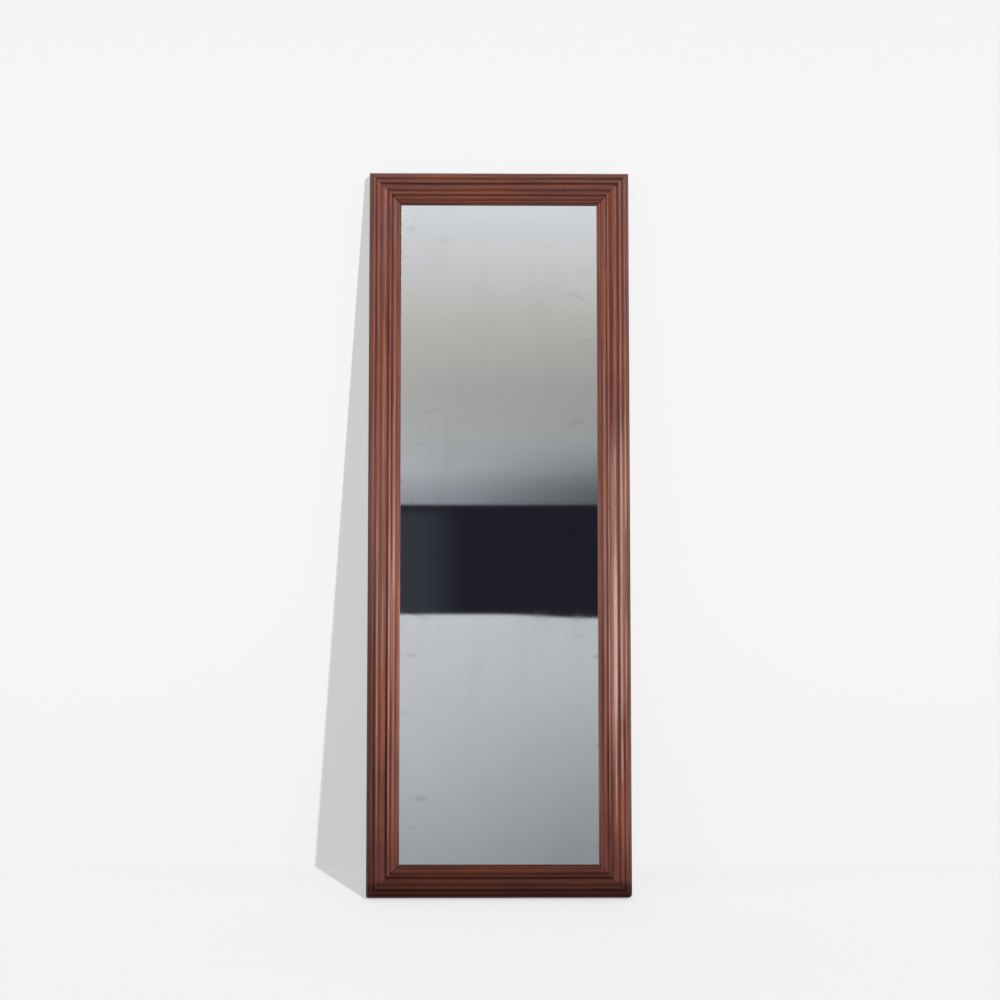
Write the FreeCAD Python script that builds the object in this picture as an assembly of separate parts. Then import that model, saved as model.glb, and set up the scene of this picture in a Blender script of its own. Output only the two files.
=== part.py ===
import FreeCAD, Part

import math
import os

os.makedirs("parts", exist_ok=True)

Vector = FreeCAD.Vector

# A full-length mirror in a moulded wooden frame, for leaning on a wall or hanging from it.
# X runs across the width, the glass faces -Y and Z is up. The origin is the middle of the
# face that stands on the floor. Millimetres.
# In a moulding's section, "across" runs from the frame's outer edge in towards the glass
# and "depth" runs from the highest bead back towards the wall.

# Whole mirror
OVERALL_WIDTH = 650.0
OVERALL_HEIGHT = 1800.0
FRAME_DEPTH = 38.0

# Outer moulding: the rails and stiles
RAIL_FACE = 57.5
RAIL_RELIEF = 11.4
SIDE_LAND = 22.0
LIP_WIDTH = 9.0
LIP_THICKNESS = 5.6
LEDGE_WIDTH = 11.0

# Its front from the splayed side to the lip: across as a share of RAIL_FACE, depth as a share of RAIL_RELIEF.
# A row of one point is a straight stretch to it, and a row of two is an arc through the first to the second.
RAIL_FRONT_SHARES = (
    ((0.080, 0.395),),
    ((0.198, 0.000), (0.298, 0.220)),
    ((0.306, 0.290),),
    ((0.314, 0.230),),
    ((0.404, 0.050), (0.493, 0.263)),
    ((0.505, 0.754),),
    ((0.523, 0.833), (0.546, 0.737)),
    ((0.561, 0.570),),
    ((0.664, 0.474), (0.771, 0.579)),
    ((0.793, 0.912),),
    ((0.818, 1.000), (0.843, 0.895)),
    ((0.871, 0.632),),
    ((0.921, 0.482), (0.971, 0.632)),
    ((1.000, 0.842),),
)

# Slip: the separate inner frame between the outer moulding and the glass
SLIP_FACE = 22.0
SLIP_SET_BACK = 9.0
SLIP_RELIEF = 7.4
SLIP_SHOULDER = 4.0
SIGHT_LIP = 4.6
SLIP_REBATE = 13.0
SLIP_FIT = 0.5
SLIP_MITRE_GAP = 1.6

# Its front from the shoulder to the sight edge: across as a share of SLIP_FACE, depth as a share of SLIP_RELIEF.
SLIP_FRONT_SHARES = (
    ((0.256, 0.000), (0.553, 0.351)),
    ((0.590, 0.568),),
    ((0.712, 0.392), (0.828, 0.595)),
    ((0.860, 0.865),),
    ((0.902, 0.743),),
    ((0.967, 0.797), (1.000, 1.000)),
)

# Glass and what holds it in the slip
GLASS_THICKNESS = 5.0
GLASS_EDGE_GAP = 3.0
FELT_THICKNESS = 1.0
FELT_WIDTH = 6.0
FELT_SET_IN = 2.0
BLOCK_LENGTH = 60.0
BLOCK_PLACE_SHARE = 0.25
PACKER_LENGTH = 40.0
PACKER_PLACE_SHARE = 0.38
FOAM_THICKNESS = 2.0

# Backing panel and its screws
PANEL_THICKNESS = 4.0
PANEL_FIT = 0.5
PANEL_SCREW_LENGTH = 16.0
PANEL_SCREW_SPACING = 240.0
PANEL_SCREW_END = 70.0

# Pins that hold the slip
PIN_RADIUS = 0.8
PIN_LENGTH = 18.0
PIN_SPACING = 230.0
PIN_END = 100.0

# Biscuits across the mitres
BISCUIT_LENGTH = 40.0
BISCUIT_WIDTH = 15.0
BISCUIT_THICKNESS = 4.0
BISCUIT_END_GAP = 0.5
BISCUIT_PLACE_SHARE = 0.45

# Corner braces on the back
BRACE_LEG = 75.0
BRACE_WIDTH = 16.0
BRACE_THICKNESS = 2.0
BRACE_CORNER = 4.0
BRACE_SCREW_LENGTH = 20.0
BRACE_SCREW_SHARES = (0.46, 0.86)

# Screws: shank and head sizes, shared by all
SHANK_RADIUS = 1.75
SCREW_POINT = 4.0
HEAD_RADIUS = 3.6
PAN_HEAD_HEIGHT = 2.2
PAN_HEAD_ROUND = 0.9
SUNK_HEAD_HEIGHT = 1.85
CROSS_LENGTH = 4.0
CROSS_WIDTH = 0.9
CROSS_DEPTH = 1.3
PILOT_GAP = 0.05
SHANK_GAP = 0.25
SINK_GAP = 0.05

# Hangers: a strap with a rolled eye on each stile, and the ring that swings in the eye
HANGER_DROP = 330.0
STRAP_WIDTH = 15.0
STRAP_LENGTH = 46.0
STRAP_THICKNESS = 1.5
STRAP_NECK = 6.0
STRAP_END_ROUND = 4.0
STRAP_SCREW_SHARES = (0.58, 0.86)
STRAP_SCREW_LENGTH = 20.0
EYE_WALL = 1.2
EYE_FIT = 0.08
RING_WIRE = 2.5
RING_CORNER = 3.0
RING_SIDE_GAP = 0.4
RING_LEG = 6.0
RING_LIE_GAP = 0.35

# Felt strips on the back, which meet the wall
WALL_FELT_THICKNESS = 6.0
WALL_FELT_WIDTH = 20.0
WALL_FELT_END_GAP = 20.0
WALL_FELT_SET_IN = 6.0

OVERRUN = 1.0

# Depths and places worked out from the sizes above
seat_depth = RAIL_RELIEF + LIP_THICKNESS
glass_rebate_depth = SLIP_SET_BACK + SLIP_RELIEF + SIGHT_LIP
glass_depth = glass_rebate_depth + FELT_THICKNESS
foam_depth = glass_depth + GLASS_THICKNESS
panel_depth = foam_depth + FOAM_THICKNESS
rebate_edge = RAIL_FACE - LIP_WIDTH
ledge_edge = rebate_edge - LEDGE_WIDTH
slip_edge = RAIL_FACE + SLIP_FIT
sight_edge = slip_edge + SLIP_FACE
glass_rebate_edge = sight_edge - SLIP_REBATE
glass_edge = glass_rebate_edge + GLASS_EDGE_GAP
back_centre_line = ledge_edge / 2
brace_start = back_centre_line - BRACE_WIDTH / 2
brace_end = brace_start + BRACE_LEG
back_face = FRAME_DEPTH / 2
front_face = -FRAME_DEPTH / 2
eye_stand_off = STRAP_THICKNESS + RING_LIE_GAP + RING_WIRE / 2
eye_radius = RING_WIRE / 2 + EYE_FIT + EYE_WALL
ring_half_width = STRAP_WIDTH / 2 + RING_SIDE_GAP + RING_CORNER

# Each side of the frame: the turn about Y, the place of its outer edge's middle, and its length
SIDES = {
    "bottom": (0, Vector(0, 0, 0), OVERALL_WIDTH),
    "top": (180, Vector(0, 0, OVERALL_HEIGHT), OVERALL_WIDTH),
    "left": (90, Vector(-OVERALL_WIDTH / 2, 0, OVERALL_HEIGHT / 2), OVERALL_HEIGHT),
    "right": (-90, Vector(OVERALL_WIDTH / 2, 0, OVERALL_HEIGHT / 2), OVERALL_HEIGHT),
}
TIMBER = {"bottom": "bottom_rail", "top": "top_rail", "left": "left_stile", "right": "right_stile"}
CORNERS = {
    "bottom_left": (-1, 0),
    "bottom_right": (1, 0),
    "top_left": (-1, 1),
    "top_right": (1, 1),
}


def on_side(shape, side):
    """A copy of a shape drawn along the bottom edge, moved to a side of the frame."""
    turn, place, _ = SIDES[side]
    moved = shape.copy()
    moved.Placement = FreeCAD.Placement(place, FreeCAD.Rotation(Vector(0, 1, 0), turn)) * shape.Placement
    return moved


def section_point(across, depth):
    return Vector(0, depth + front_face, across)


def section_face(start, stretches):
    """A flat face in a moulding's section, closed back to its start with a straight line."""
    edges, here = [], section_point(*start)
    for stretch in stretches:
        points = [section_point(*point) for point in stretch]
        if len(points) == 1:
            edges.append(Part.LineSegment(here, points[0]).toShape())
        else:
            edges.append(Part.Arc(here, *points).toShape())
        here = points[-1]
    edges.append(Part.LineSegment(here, section_point(*start)).toShape())
    return Part.Face(Part.Wire(edges))


def scaled_stretches(shares, edge, width, front, relief):
    """The stretches of a front outline, from shares of its width and relief to sizes."""
    return [
        [(edge + across * width, front + depth * relief) for across, depth in stretch]
        for stretch in shares
    ]


def mitred_bar(face, length, reach, trim):
    """A section drawn out to a length along X and mitred at both ends, each cut set back by trim."""
    bar = face.extrude(Vector(length, 0, 0))
    bar.translate(Vector(-length / 2, 0, 0))
    low, high = -OVERRUN, reach + OVERRUN
    half = length / 2 - trim
    corners = [
        Vector(-(half - low), front_face - OVERRUN, low),
        Vector(half - low, front_face - OVERRUN, low),
        Vector(half - high, front_face - OVERRUN, high),
        Vector(-(half - high), front_face - OVERRUN, high),
    ]
    wedge = Part.Face(Part.makePolygon(corners + corners[:1]))
    return bar.common(wedge.extrude(Vector(0, FRAME_DEPTH + 2 * OVERRUN, 0))).Solids[0]


def rail_bar(length):
    """One length of the outer moulding, with its rebate for the slip and its ledge for the panel."""
    front = scaled_stretches(RAIL_FRONT_SHARES, 0, RAIL_FACE, 0, RAIL_RELIEF)
    back = [
        [(RAIL_FACE, seat_depth)],
        [(rebate_edge, seat_depth)],
        [(rebate_edge, panel_depth)],
        [(ledge_edge, panel_depth)],
        [(ledge_edge, FRAME_DEPTH)],
    ]
    side = [[(0, FRAME_DEPTH - SIDE_LAND)]]
    face = section_face((0, FRAME_DEPTH), side + front + back)
    return mitred_bar(face, length, RAIL_FACE, 0)


def slip_bar(length):
    """One length of the slip, with its flange for the rebate and its own rebate for the glass."""
    front = scaled_stretches(SLIP_FRONT_SHARES, slip_edge, SLIP_FACE, SLIP_SET_BACK, SLIP_RELIEF)
    back = [
        [(sight_edge, glass_rebate_depth)],
        [(glass_rebate_edge, glass_rebate_depth)],
        [(glass_rebate_edge, panel_depth)],
        [(rebate_edge + SLIP_FIT, panel_depth)],
        [(rebate_edge + SLIP_FIT, seat_depth)],
        [(slip_edge, seat_depth)],
    ]
    face = section_face((slip_edge, SLIP_SET_BACK + SLIP_SHOULDER), front + back)
    return mitred_bar(face, length, sight_edge, SLIP_MITRE_GAP / math.sqrt(2))


def felt_bar(length):
    """One length of the glazing felt, stuck to the back of the slip's lip."""
    inner = sight_edge - FELT_SET_IN
    outer = inner - FELT_WIDTH
    face = section_face(
        (outer, glass_rebate_depth),
        [[(inner, glass_rebate_depth)], [(inner, glass_depth)], [(outer, glass_depth)]],
    )
    return mitred_bar(face, length, inner, 0)


def sheet(inset, depth, thickness):
    """A flat sheet that stops short of the frame's outer edges by inset."""
    box = Part.makeBox(OVERALL_WIDTH - 2 * inset, thickness, OVERALL_HEIGHT - 2 * inset)
    box.translate(Vector(inset - OVERALL_WIDTH / 2, front_face + depth, inset))
    return box


def edge_filler(length, middle):
    """A block that fills the gap between the glass edge and the slip, centred at middle along its side."""
    box = Part.makeBox(length, GLASS_THICKNESS, GLASS_EDGE_GAP)
    box.translate(Vector(middle - length / 2, front_face + glass_depth, glass_rebate_edge))
    return box


def spread(length, end, spacing):
    """Places along a side, evenly spaced about its middle and at most a spacing apart."""
    span = length - 2 * end
    gaps = max(1, math.ceil(span / spacing))
    return [span * (index / gaps - 0.5) for index in range(gaps + 1)]


def cross_recess():
    """The driver's cross, cut into a head whose top is at Y zero."""
    first = Part.makeBox(CROSS_LENGTH, CROSS_DEPTH, CROSS_WIDTH)
    first.translate(Vector(-CROSS_LENGTH / 2, -CROSS_DEPTH, -CROSS_WIDTH / 2))
    second = first.copy()
    second.rotate(Vector(0, 0, 0), Vector(0, 1, 0), 90)
    return first.fuse(second)


def turned(points):
    """A solid turned about Y from points of radius and height, closed on the axis."""
    outline = [Vector(radius, height, 0) for radius, height in points]
    face = Part.Face(Part.makePolygon(outline + outline[:1]))
    return face.revolve(Vector(0, 0, 0), Vector(0, 1, 0), 360)


def pan_screw(length):
    """A screw whose head sits on the face at Y zero, with its point towards -Y."""
    screw = turned(
        [
            (0, PAN_HEAD_HEIGHT),
            (HEAD_RADIUS - PAN_HEAD_ROUND, PAN_HEAD_HEIGHT),
            (HEAD_RADIUS, PAN_HEAD_HEIGHT - PAN_HEAD_ROUND),
            (HEAD_RADIUS, 0),
            (SHANK_RADIUS, 0),
            (SHANK_RADIUS, SCREW_POINT - length),
            (0, -length),
        ]
    )
    recess = cross_recess()
    recess.translate(Vector(0, PAN_HEAD_HEIGHT, 0))
    return screw.cut(recess).Solids[0]


def sunk_screw(length):
    """A screw whose head is flush with the face at Y zero, with its point towards -Y."""
    screw = turned(
        [
            (0, 0),
            (HEAD_RADIUS, 0),
            (SHANK_RADIUS, -SUNK_HEAD_HEIGHT),
            (SHANK_RADIUS, SCREW_POINT - length),
            (0, -length),
        ]
    )
    return screw.cut(cross_recess()).Solids[0]


def round_hole(radius, depth):
    """A cutter for a hole from just behind the face at Y zero down to a depth."""
    return Part.makeCylinder(radius, depth + OVERRUN, Vector(0, OVERRUN, 0), Vector(0, -1, 0))


def sink(gap):
    """A cutter for the cone that takes a flush head."""
    return turned(
        [
            (0, OVERRUN),
            (HEAD_RADIUS + gap, OVERRUN),
            (HEAD_RADIUS + gap, 0),
            (SHANK_RADIUS + gap, -SUNK_HEAD_HEIGHT),
            (0, -SUNK_HEAD_HEIGHT),
        ]
    )


def at(shape, x, y, z):
    moved = shape.copy()
    moved.translate(Vector(x, y, z))
    return moved


def panel_screw_places(side):
    """Where the panel's screws go, on a drawing along the bottom edge."""
    _, _, length = SIDES[side]
    across = ledge_edge + PANEL_FIT + (LEDGE_WIDTH - PANEL_FIT) / 2
    return [(along, across) for along in spread(length, ledge_edge + PANEL_SCREW_END, PANEL_SCREW_SPACING)]


def pin_places(side):
    """Where the slip's pins go, on a drawing along the bottom edge."""
    _, _, length = SIDES[side]
    across = (rebate_edge + SLIP_FIT + slip_edge) / 2
    return [(along, across) for along in spread(length, PIN_END, PIN_SPACING)]


def brace_places(side):
    """Where the braces' screws go, on a drawing along the bottom edge."""
    _, _, length = SIDES[side]
    places = []
    for share in BRACE_SCREW_SHARES:
        along = length / 2 - brace_start - share * BRACE_LEG
        places += [(-along, back_centre_line), (along, back_centre_line)]
    return places


def eye_height():
    return OVERALL_HEIGHT - HANGER_DROP


def strap_screw_heights():
    return [eye_height() - share * STRAP_LENGTH for share in STRAP_SCREW_SHARES]


def hanger_middle(sign):
    """The across place of a hanger: the centre line of the stile's back."""
    return sign * (OVERALL_WIDTH / 2 - back_centre_line)


def biscuit_lens(grow):
    """A biscuit's outline as a solid about the origin, its length along X and its thickness along Y."""
    half_length, half_width = BISCUIT_LENGTH / 2 + grow, BISCUIT_WIDTH / 2 + grow
    left, right = Vector(-half_length, 0, 0), Vector(half_length, 0, 0)
    edges = [
        Part.Arc(left, Vector(0, 0, half_width), right).toShape(),
        Part.Arc(right, Vector(0, 0, -half_width), left).toShape(),
    ]
    lens = Part.Face(Part.Wire(edges)).extrude(Vector(0, BISCUIT_THICKNESS, 0))
    lens.translate(Vector(0, -BISCUIT_THICKNESS / 2, 0))
    return lens


def at_corner(shape, corner):
    """A copy of a shape drawn along the mitre of the origin's corner, moved to a corner of the frame."""
    sign, up = CORNERS[corner]
    inset = BISCUIT_PLACE_SHARE * rebate_edge
    moved = shape.copy()
    turn = 45 * sign if up == 0 else -45 * sign
    moved.rotate(Vector(0, 0, 0), Vector(0, 1, 0), turn)
    depth = front_face + (RAIL_RELIEF + FRAME_DEPTH) / 2
    height = inset if up == 0 else OVERALL_HEIGHT - inset
    moved.translate(Vector(sign * (OVERALL_WIDTH / 2 - inset), depth, height))
    return moved


def make_timber(side):
    """A rail or stile with the holes for its screws and pins and the slots for its biscuits."""
    _, _, length = SIDES[side]
    bar = rail_bar(length)
    ledge = front_face + panel_depth
    panel_hole = round_hole(SHANK_RADIUS + PILOT_GAP, PANEL_SCREW_LENGTH - PANEL_THICKNESS)
    brace_hole = round_hole(SHANK_RADIUS + PILOT_GAP, BRACE_SCREW_LENGTH - BRACE_THICKNESS)
    pin_hole = round_hole(PIN_RADIUS + PILOT_GAP, PIN_LENGTH)
    cutters = [at(panel_hole, x, ledge, z) for x, z in panel_screw_places(side)]
    cutters += [at(pin_hole, x, ledge, z) for x, z in pin_places(side)]
    cutters += [at(brace_hole, x, back_face, z) for x, z in brace_places(side)]
    timber = on_side(bar.cut(cutters), side)
    slots = [at_corner(biscuit_lens(BISCUIT_END_GAP), corner) for corner in CORNERS if side in corner]
    if side in ("left", "right"):
        strap_hole = round_hole(SHANK_RADIUS + PILOT_GAP, STRAP_SCREW_LENGTH - STRAP_THICKNESS)
        x = hanger_middle(-1 if side == "left" else 1)
        slots += [at(strap_hole, x, back_face, z) for z in strap_screw_heights()]
    return timber.cut(slots).Solids[0]


def make_slip(side):
    """One length of the slip with its pin holes."""
    _, _, length = SIDES[side]
    pin_hole = round_hole(PIN_RADIUS + PILOT_GAP, PIN_LENGTH)
    holes = [at(pin_hole, x, front_face + panel_depth, z) for x, z in pin_places(side)]
    return on_side(slip_bar(length).cut(holes), side).Solids[0]


def make_panel():
    """The backing panel with a clearance hole at each screw."""
    panel = sheet(ledge_edge + PANEL_FIT, panel_depth, PANEL_THICKNESS)
    back = front_face + panel_depth + PANEL_THICKNESS
    hole = round_hole(SHANK_RADIUS + SHANK_GAP, PANEL_THICKNESS + OVERRUN)
    cutters = []
    for side in SIDES:
        cutters += [on_side(at(hole, x, back, z), side) for x, z in panel_screw_places(side)]
    return panel.cut(cutters).Solids[0]


def make_brace(corner):
    """An L-shaped plate across the back of a mitre, with four sunk holes."""
    sign, up = CORNERS[corner]
    start, end, inner = brace_start, brace_end, brace_start + BRACE_WIDTH
    outline = [(start, start), (end, start), (end, inner), (inner, inner), (inner, end), (start, end)]
    points = [Vector(x, 0, z) for x, z in outline]
    plate = Part.Face(Part.makePolygon(points + points[:1])).extrude(Vector(0, BRACE_THICKNESS, 0))
    tips = [edge for edge in plate.Edges if at_leg_end(edge)]
    plate = plate.makeFillet(BRACE_CORNER, tips)
    hole = round_hole(SHANK_RADIUS + SHANK_GAP, BRACE_THICKNESS + OVERRUN)
    cutters = []
    for share in BRACE_SCREW_SHARES:
        along = start + share * BRACE_LEG
        for x, z in ((along, back_centre_line), (back_centre_line, along)):
            cutters += [at(cutter, x, BRACE_THICKNESS, z) for cutter in (hole, sink(SINK_GAP))]
    plate = plate.cut(cutters)
    if sign == 1:
        plate = plate.mirror(Vector(0, 0, 0), Vector(1, 0, 0))
    if up == 1:
        plate = plate.mirror(Vector(0, 0, 0), Vector(0, 0, 1))
    plate.translate(Vector(sign * OVERALL_WIDTH / 2, back_face, up * OVERALL_HEIGHT))
    return plate.Solids[0]


def at_leg_end(edge):
    """Whether an edge is one of the upright corners at the end of a brace's leg."""
    first, last = edge.Vertexes[0].Point, edge.Vertexes[-1].Point
    upright = abs(first.y - last.y) > BRACE_THICKNESS / 2
    return upright and max(first.x, first.z) > brace_end - BRACE_THICKNESS / 2


def make_strap(sign):
    """A hanger strap: a plate on the stile's back, bent out to an eye that holds the ring's bar."""
    half, top = STRAP_WIDTH / 2, eye_height()
    outline = [
        (0, -STRAP_LENGTH),
        (STRAP_THICKNESS, -STRAP_LENGTH),
        (STRAP_THICKNESS, -STRAP_NECK),
        (eye_stand_off + EYE_WALL / 2, 0),
        (eye_stand_off - EYE_WALL / 2, 0),
        (0, -STRAP_NECK),
    ]
    points = [Vector(-half, y, z) for y, z in outline]
    plate = Part.Face(Part.makePolygon(points + points[:1])).extrude(Vector(STRAP_WIDTH, 0, 0))
    low = [edge for edge in plate.Edges if abs(edge.CenterOfMass.z + STRAP_LENGTH) < OVERRUN]
    ends = [edge for edge in low if abs(abs(edge.CenterOfMass.x) - half) < OVERRUN]
    plate = plate.makeFillet(STRAP_END_ROUND, ends)
    barrel = Part.makeCylinder(eye_radius, STRAP_WIDTH, Vector(-half, eye_stand_off, 0), Vector(1, 0, 0))
    bore = Part.makeCylinder(
        RING_WIRE / 2 + EYE_FIT,
        STRAP_WIDTH + 2 * OVERRUN,
        Vector(-half - OVERRUN, eye_stand_off, 0),
        Vector(1, 0, 0),
    )
    hole = round_hole(SHANK_RADIUS + SHANK_GAP, STRAP_THICKNESS + OVERRUN)
    holes = [at(hole, 0, STRAP_THICKNESS, z - top) for z in strap_screw_heights()]
    strap = plate.fuse(barrel).removeSplitter().cut([bore] + holes)
    return at(strap, hanger_middle(sign), back_face, top).Solids[0]


def make_ring(sign):
    """A hanger's D-ring, hanging from its straight bar, which lies in the strap's eye."""
    wide, round_ = ring_half_width, RING_CORNER
    foot = -round_ - RING_LEG
    turn = round_ * (1 - math.sqrt(0.5))

    def spot(x, z):
        return Vector(x, 0, z)

    path = [
        Part.LineSegment(spot(0, 0), spot(wide - round_, 0)).toShape(),
        Part.Arc(spot(wide - round_, 0), spot(wide - turn, -turn), spot(wide, -round_)).toShape(),
        Part.LineSegment(spot(wide, -round_), spot(wide, foot)).toShape(),
        Part.Arc(spot(wide, foot), spot(0, foot - wide), spot(-wide, foot)).toShape(),
        Part.LineSegment(spot(-wide, foot), spot(-wide, -round_)).toShape(),
        Part.Arc(spot(-wide, -round_), spot(turn - wide, -turn), spot(round_ - wide, 0)).toShape(),
        Part.LineSegment(spot(round_ - wide, 0), spot(0, 0)).toShape(),
    ]
    circle = Part.Wire(Part.makeCircle(RING_WIRE / 2, spot(0, 0), Vector(1, 0, 0)))
    ring = Part.Wire(path).makePipeShell([circle], True, False)
    return at(ring, hanger_middle(sign), back_face + eye_stand_off, eye_height()).Solids[0]


def make_wall_felt(side):
    """A felt strip on the back of a rail, between its two braces."""
    length = OVERALL_WIDTH - 2 * (brace_end + WALL_FELT_END_GAP)
    strip = Part.makeBox(length, WALL_FELT_THICKNESS, WALL_FELT_WIDTH)
    strip.translate(Vector(-length / 2, back_face, WALL_FELT_SET_IN))
    return on_side(strip, side)


def make_panel_screws():
    screw, back = pan_screw(PANEL_SCREW_LENGTH), front_face + panel_depth + PANEL_THICKNESS
    return [on_side(at(screw, x, back, z), side) for side in SIDES for x, z in panel_screw_places(side)]


def make_brace_screws():
    screw, back = sunk_screw(BRACE_SCREW_LENGTH), back_face + BRACE_THICKNESS
    return [on_side(at(screw, x, back, z), side) for side in SIDES for x, z in brace_places(side)]


def make_hanger_screws():
    screw, back = pan_screw(STRAP_SCREW_LENGTH), back_face + STRAP_THICKNESS
    return [at(screw, hanger_middle(sign), back, z) for sign in (-1, 1) for z in strap_screw_heights()]


def make_slip_pins():
    """Headless pins, driven flush with the slip's back."""
    back = front_face + panel_depth
    pin = Part.makeCylinder(PIN_RADIUS, PIN_LENGTH, Vector(0, 0, 0), Vector(0, -1, 0))
    return [on_side(at(pin, x, back, z), side) for side in SIDES for x, z in pin_places(side)]


def make_fillers():
    """The blocks under the glass and the packers beside it, by name."""
    fillers = {}
    for side, sign in (("left", -1), ("right", 1)):
        middle = sign * BLOCK_PLACE_SHARE * OVERALL_WIDTH
        fillers[side + "_setting_block"] = on_side(edge_filler(BLOCK_LENGTH, middle), "bottom")
        for level, up in (("upper", 1), ("lower", -1)):
            middle = sign * up * PACKER_PLACE_SHARE * OVERALL_HEIGHT
            packer = edge_filler(PACKER_LENGTH, middle)
            fillers[level + "_" + side + "_edge_packer"] = on_side(packer, side)
    return fillers


def all_nodes():
    """Every node of the mirror: its name and its solids."""
    nodes = {}
    for side in SIDES:
        nodes[TIMBER[side]] = [make_timber(side)]
        nodes[side + "_slip"] = [make_slip(side)]
        nodes[side + "_glazing_felt"] = [on_side(felt_bar(SIDES[side][2]), side)]
    for corner in CORNERS:
        nodes[corner + "_biscuit"] = [at_corner(biscuit_lens(0), corner)]
        nodes[corner + "_corner_brace"] = [make_brace(corner)]
    nodes["mirror_glass"] = [sheet(glass_edge, glass_depth, GLASS_THICKNESS)]
    nodes["foam_sheet"] = [sheet(glass_edge, foam_depth, FOAM_THICKNESS)]
    nodes["backing_panel"] = [make_panel()]
    for name, block in make_fillers().items():
        nodes[name] = [block]
    for name, sign in (("left", -1), ("right", 1)):
        nodes[name + "_hanger_strap"] = [make_strap(sign)]
        nodes[name + "_hanger_ring"] = [make_ring(sign)]
    nodes["upper_wall_felt"] = [make_wall_felt("top")]
    nodes["lower_wall_felt"] = [make_wall_felt("bottom")]
    nodes["slip_pins"] = make_slip_pins()
    nodes["panel_screws"] = make_panel_screws()
    nodes["brace_screws"] = make_brace_screws()
    nodes["hanger_screws"] = make_hanger_screws()
    return nodes


for node, solids in all_nodes().items():
    shape = solids[0] if len(solids) == 1 else Part.makeCompound(solids)
    shape.exportStep("parts/" + node + ".step")
    print(node, len(solids), "solids, volume", round(sum(solid.Volume for solid in solids)))
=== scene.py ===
import logging
import math
from dataclasses import dataclass, replace
from enum import Enum
from functools import reduce

import bmesh
import bpy
from bmesh.types import BMesh, BMEdge, BMFace, BMVert
from bpy.types import Material, Node, NodeSocket, NodeTree, Object
from mathutils import Matrix, Vector, noise


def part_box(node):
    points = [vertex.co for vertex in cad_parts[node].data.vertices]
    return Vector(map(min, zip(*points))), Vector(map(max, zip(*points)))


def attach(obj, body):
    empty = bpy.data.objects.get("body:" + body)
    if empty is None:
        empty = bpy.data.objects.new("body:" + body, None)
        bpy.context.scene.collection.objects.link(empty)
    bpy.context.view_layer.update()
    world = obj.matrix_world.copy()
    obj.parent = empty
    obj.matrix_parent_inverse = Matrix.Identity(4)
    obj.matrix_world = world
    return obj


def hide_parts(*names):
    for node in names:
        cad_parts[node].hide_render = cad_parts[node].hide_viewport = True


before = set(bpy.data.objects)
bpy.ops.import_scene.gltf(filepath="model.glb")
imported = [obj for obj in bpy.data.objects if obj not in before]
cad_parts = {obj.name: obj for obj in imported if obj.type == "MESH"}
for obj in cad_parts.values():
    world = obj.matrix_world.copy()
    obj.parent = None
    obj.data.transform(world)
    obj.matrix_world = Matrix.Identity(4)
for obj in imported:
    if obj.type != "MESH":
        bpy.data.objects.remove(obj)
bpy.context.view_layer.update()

log = logging.getLogger("mirror")

# A full-length mirror in a moulded and stained wooden frame, leaning on a wall.
# Sections are in millimetres: "across" runs in from the frame's outer edge towards the
# glass and "depth" runs back from the highest bead. Meshes and finishes are in metres.
# WELD is how near to a cut a vertex counts as lying on it, in metres.
MM = 0.001
WELD = 1e-7

Point = tuple[float, float]
Stretch = tuple[Point, ...]
Colour = tuple[float, float, float, float]
Triple = tuple[float, float, float]
Inputs = dict[str | int, object]
Outputs = dict[str, NodeSocket]

WIDTH = 650.0
HEIGHT = 1800.0
FRAME_DEPTH = 38.0
FRONT_FACE = -FRAME_DEPTH / 2
ALONG = Vector((1, 0, 0))


def screen(red: int, green: int, blue: int) -> Colour:
    """Turns a colour as it shows on a screen into the linear one that a socket takes.

    Args:
        red, green, blue: the colour's parts, from 0 to 255.

    Returns:
        The linear colour with full alpha.
    """
    shares = [part / 255 for part in (red, green, blue)]
    linear = [share / 12.92 if share <= 0.04045 else ((share + 0.055) / 1.055) ** 2.4 for share in shares]
    return (*linear, 1.0)


def grey(level: float) -> Colour:
    """A linear grey with full alpha."""
    return (level, level, level, 1.0)


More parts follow.
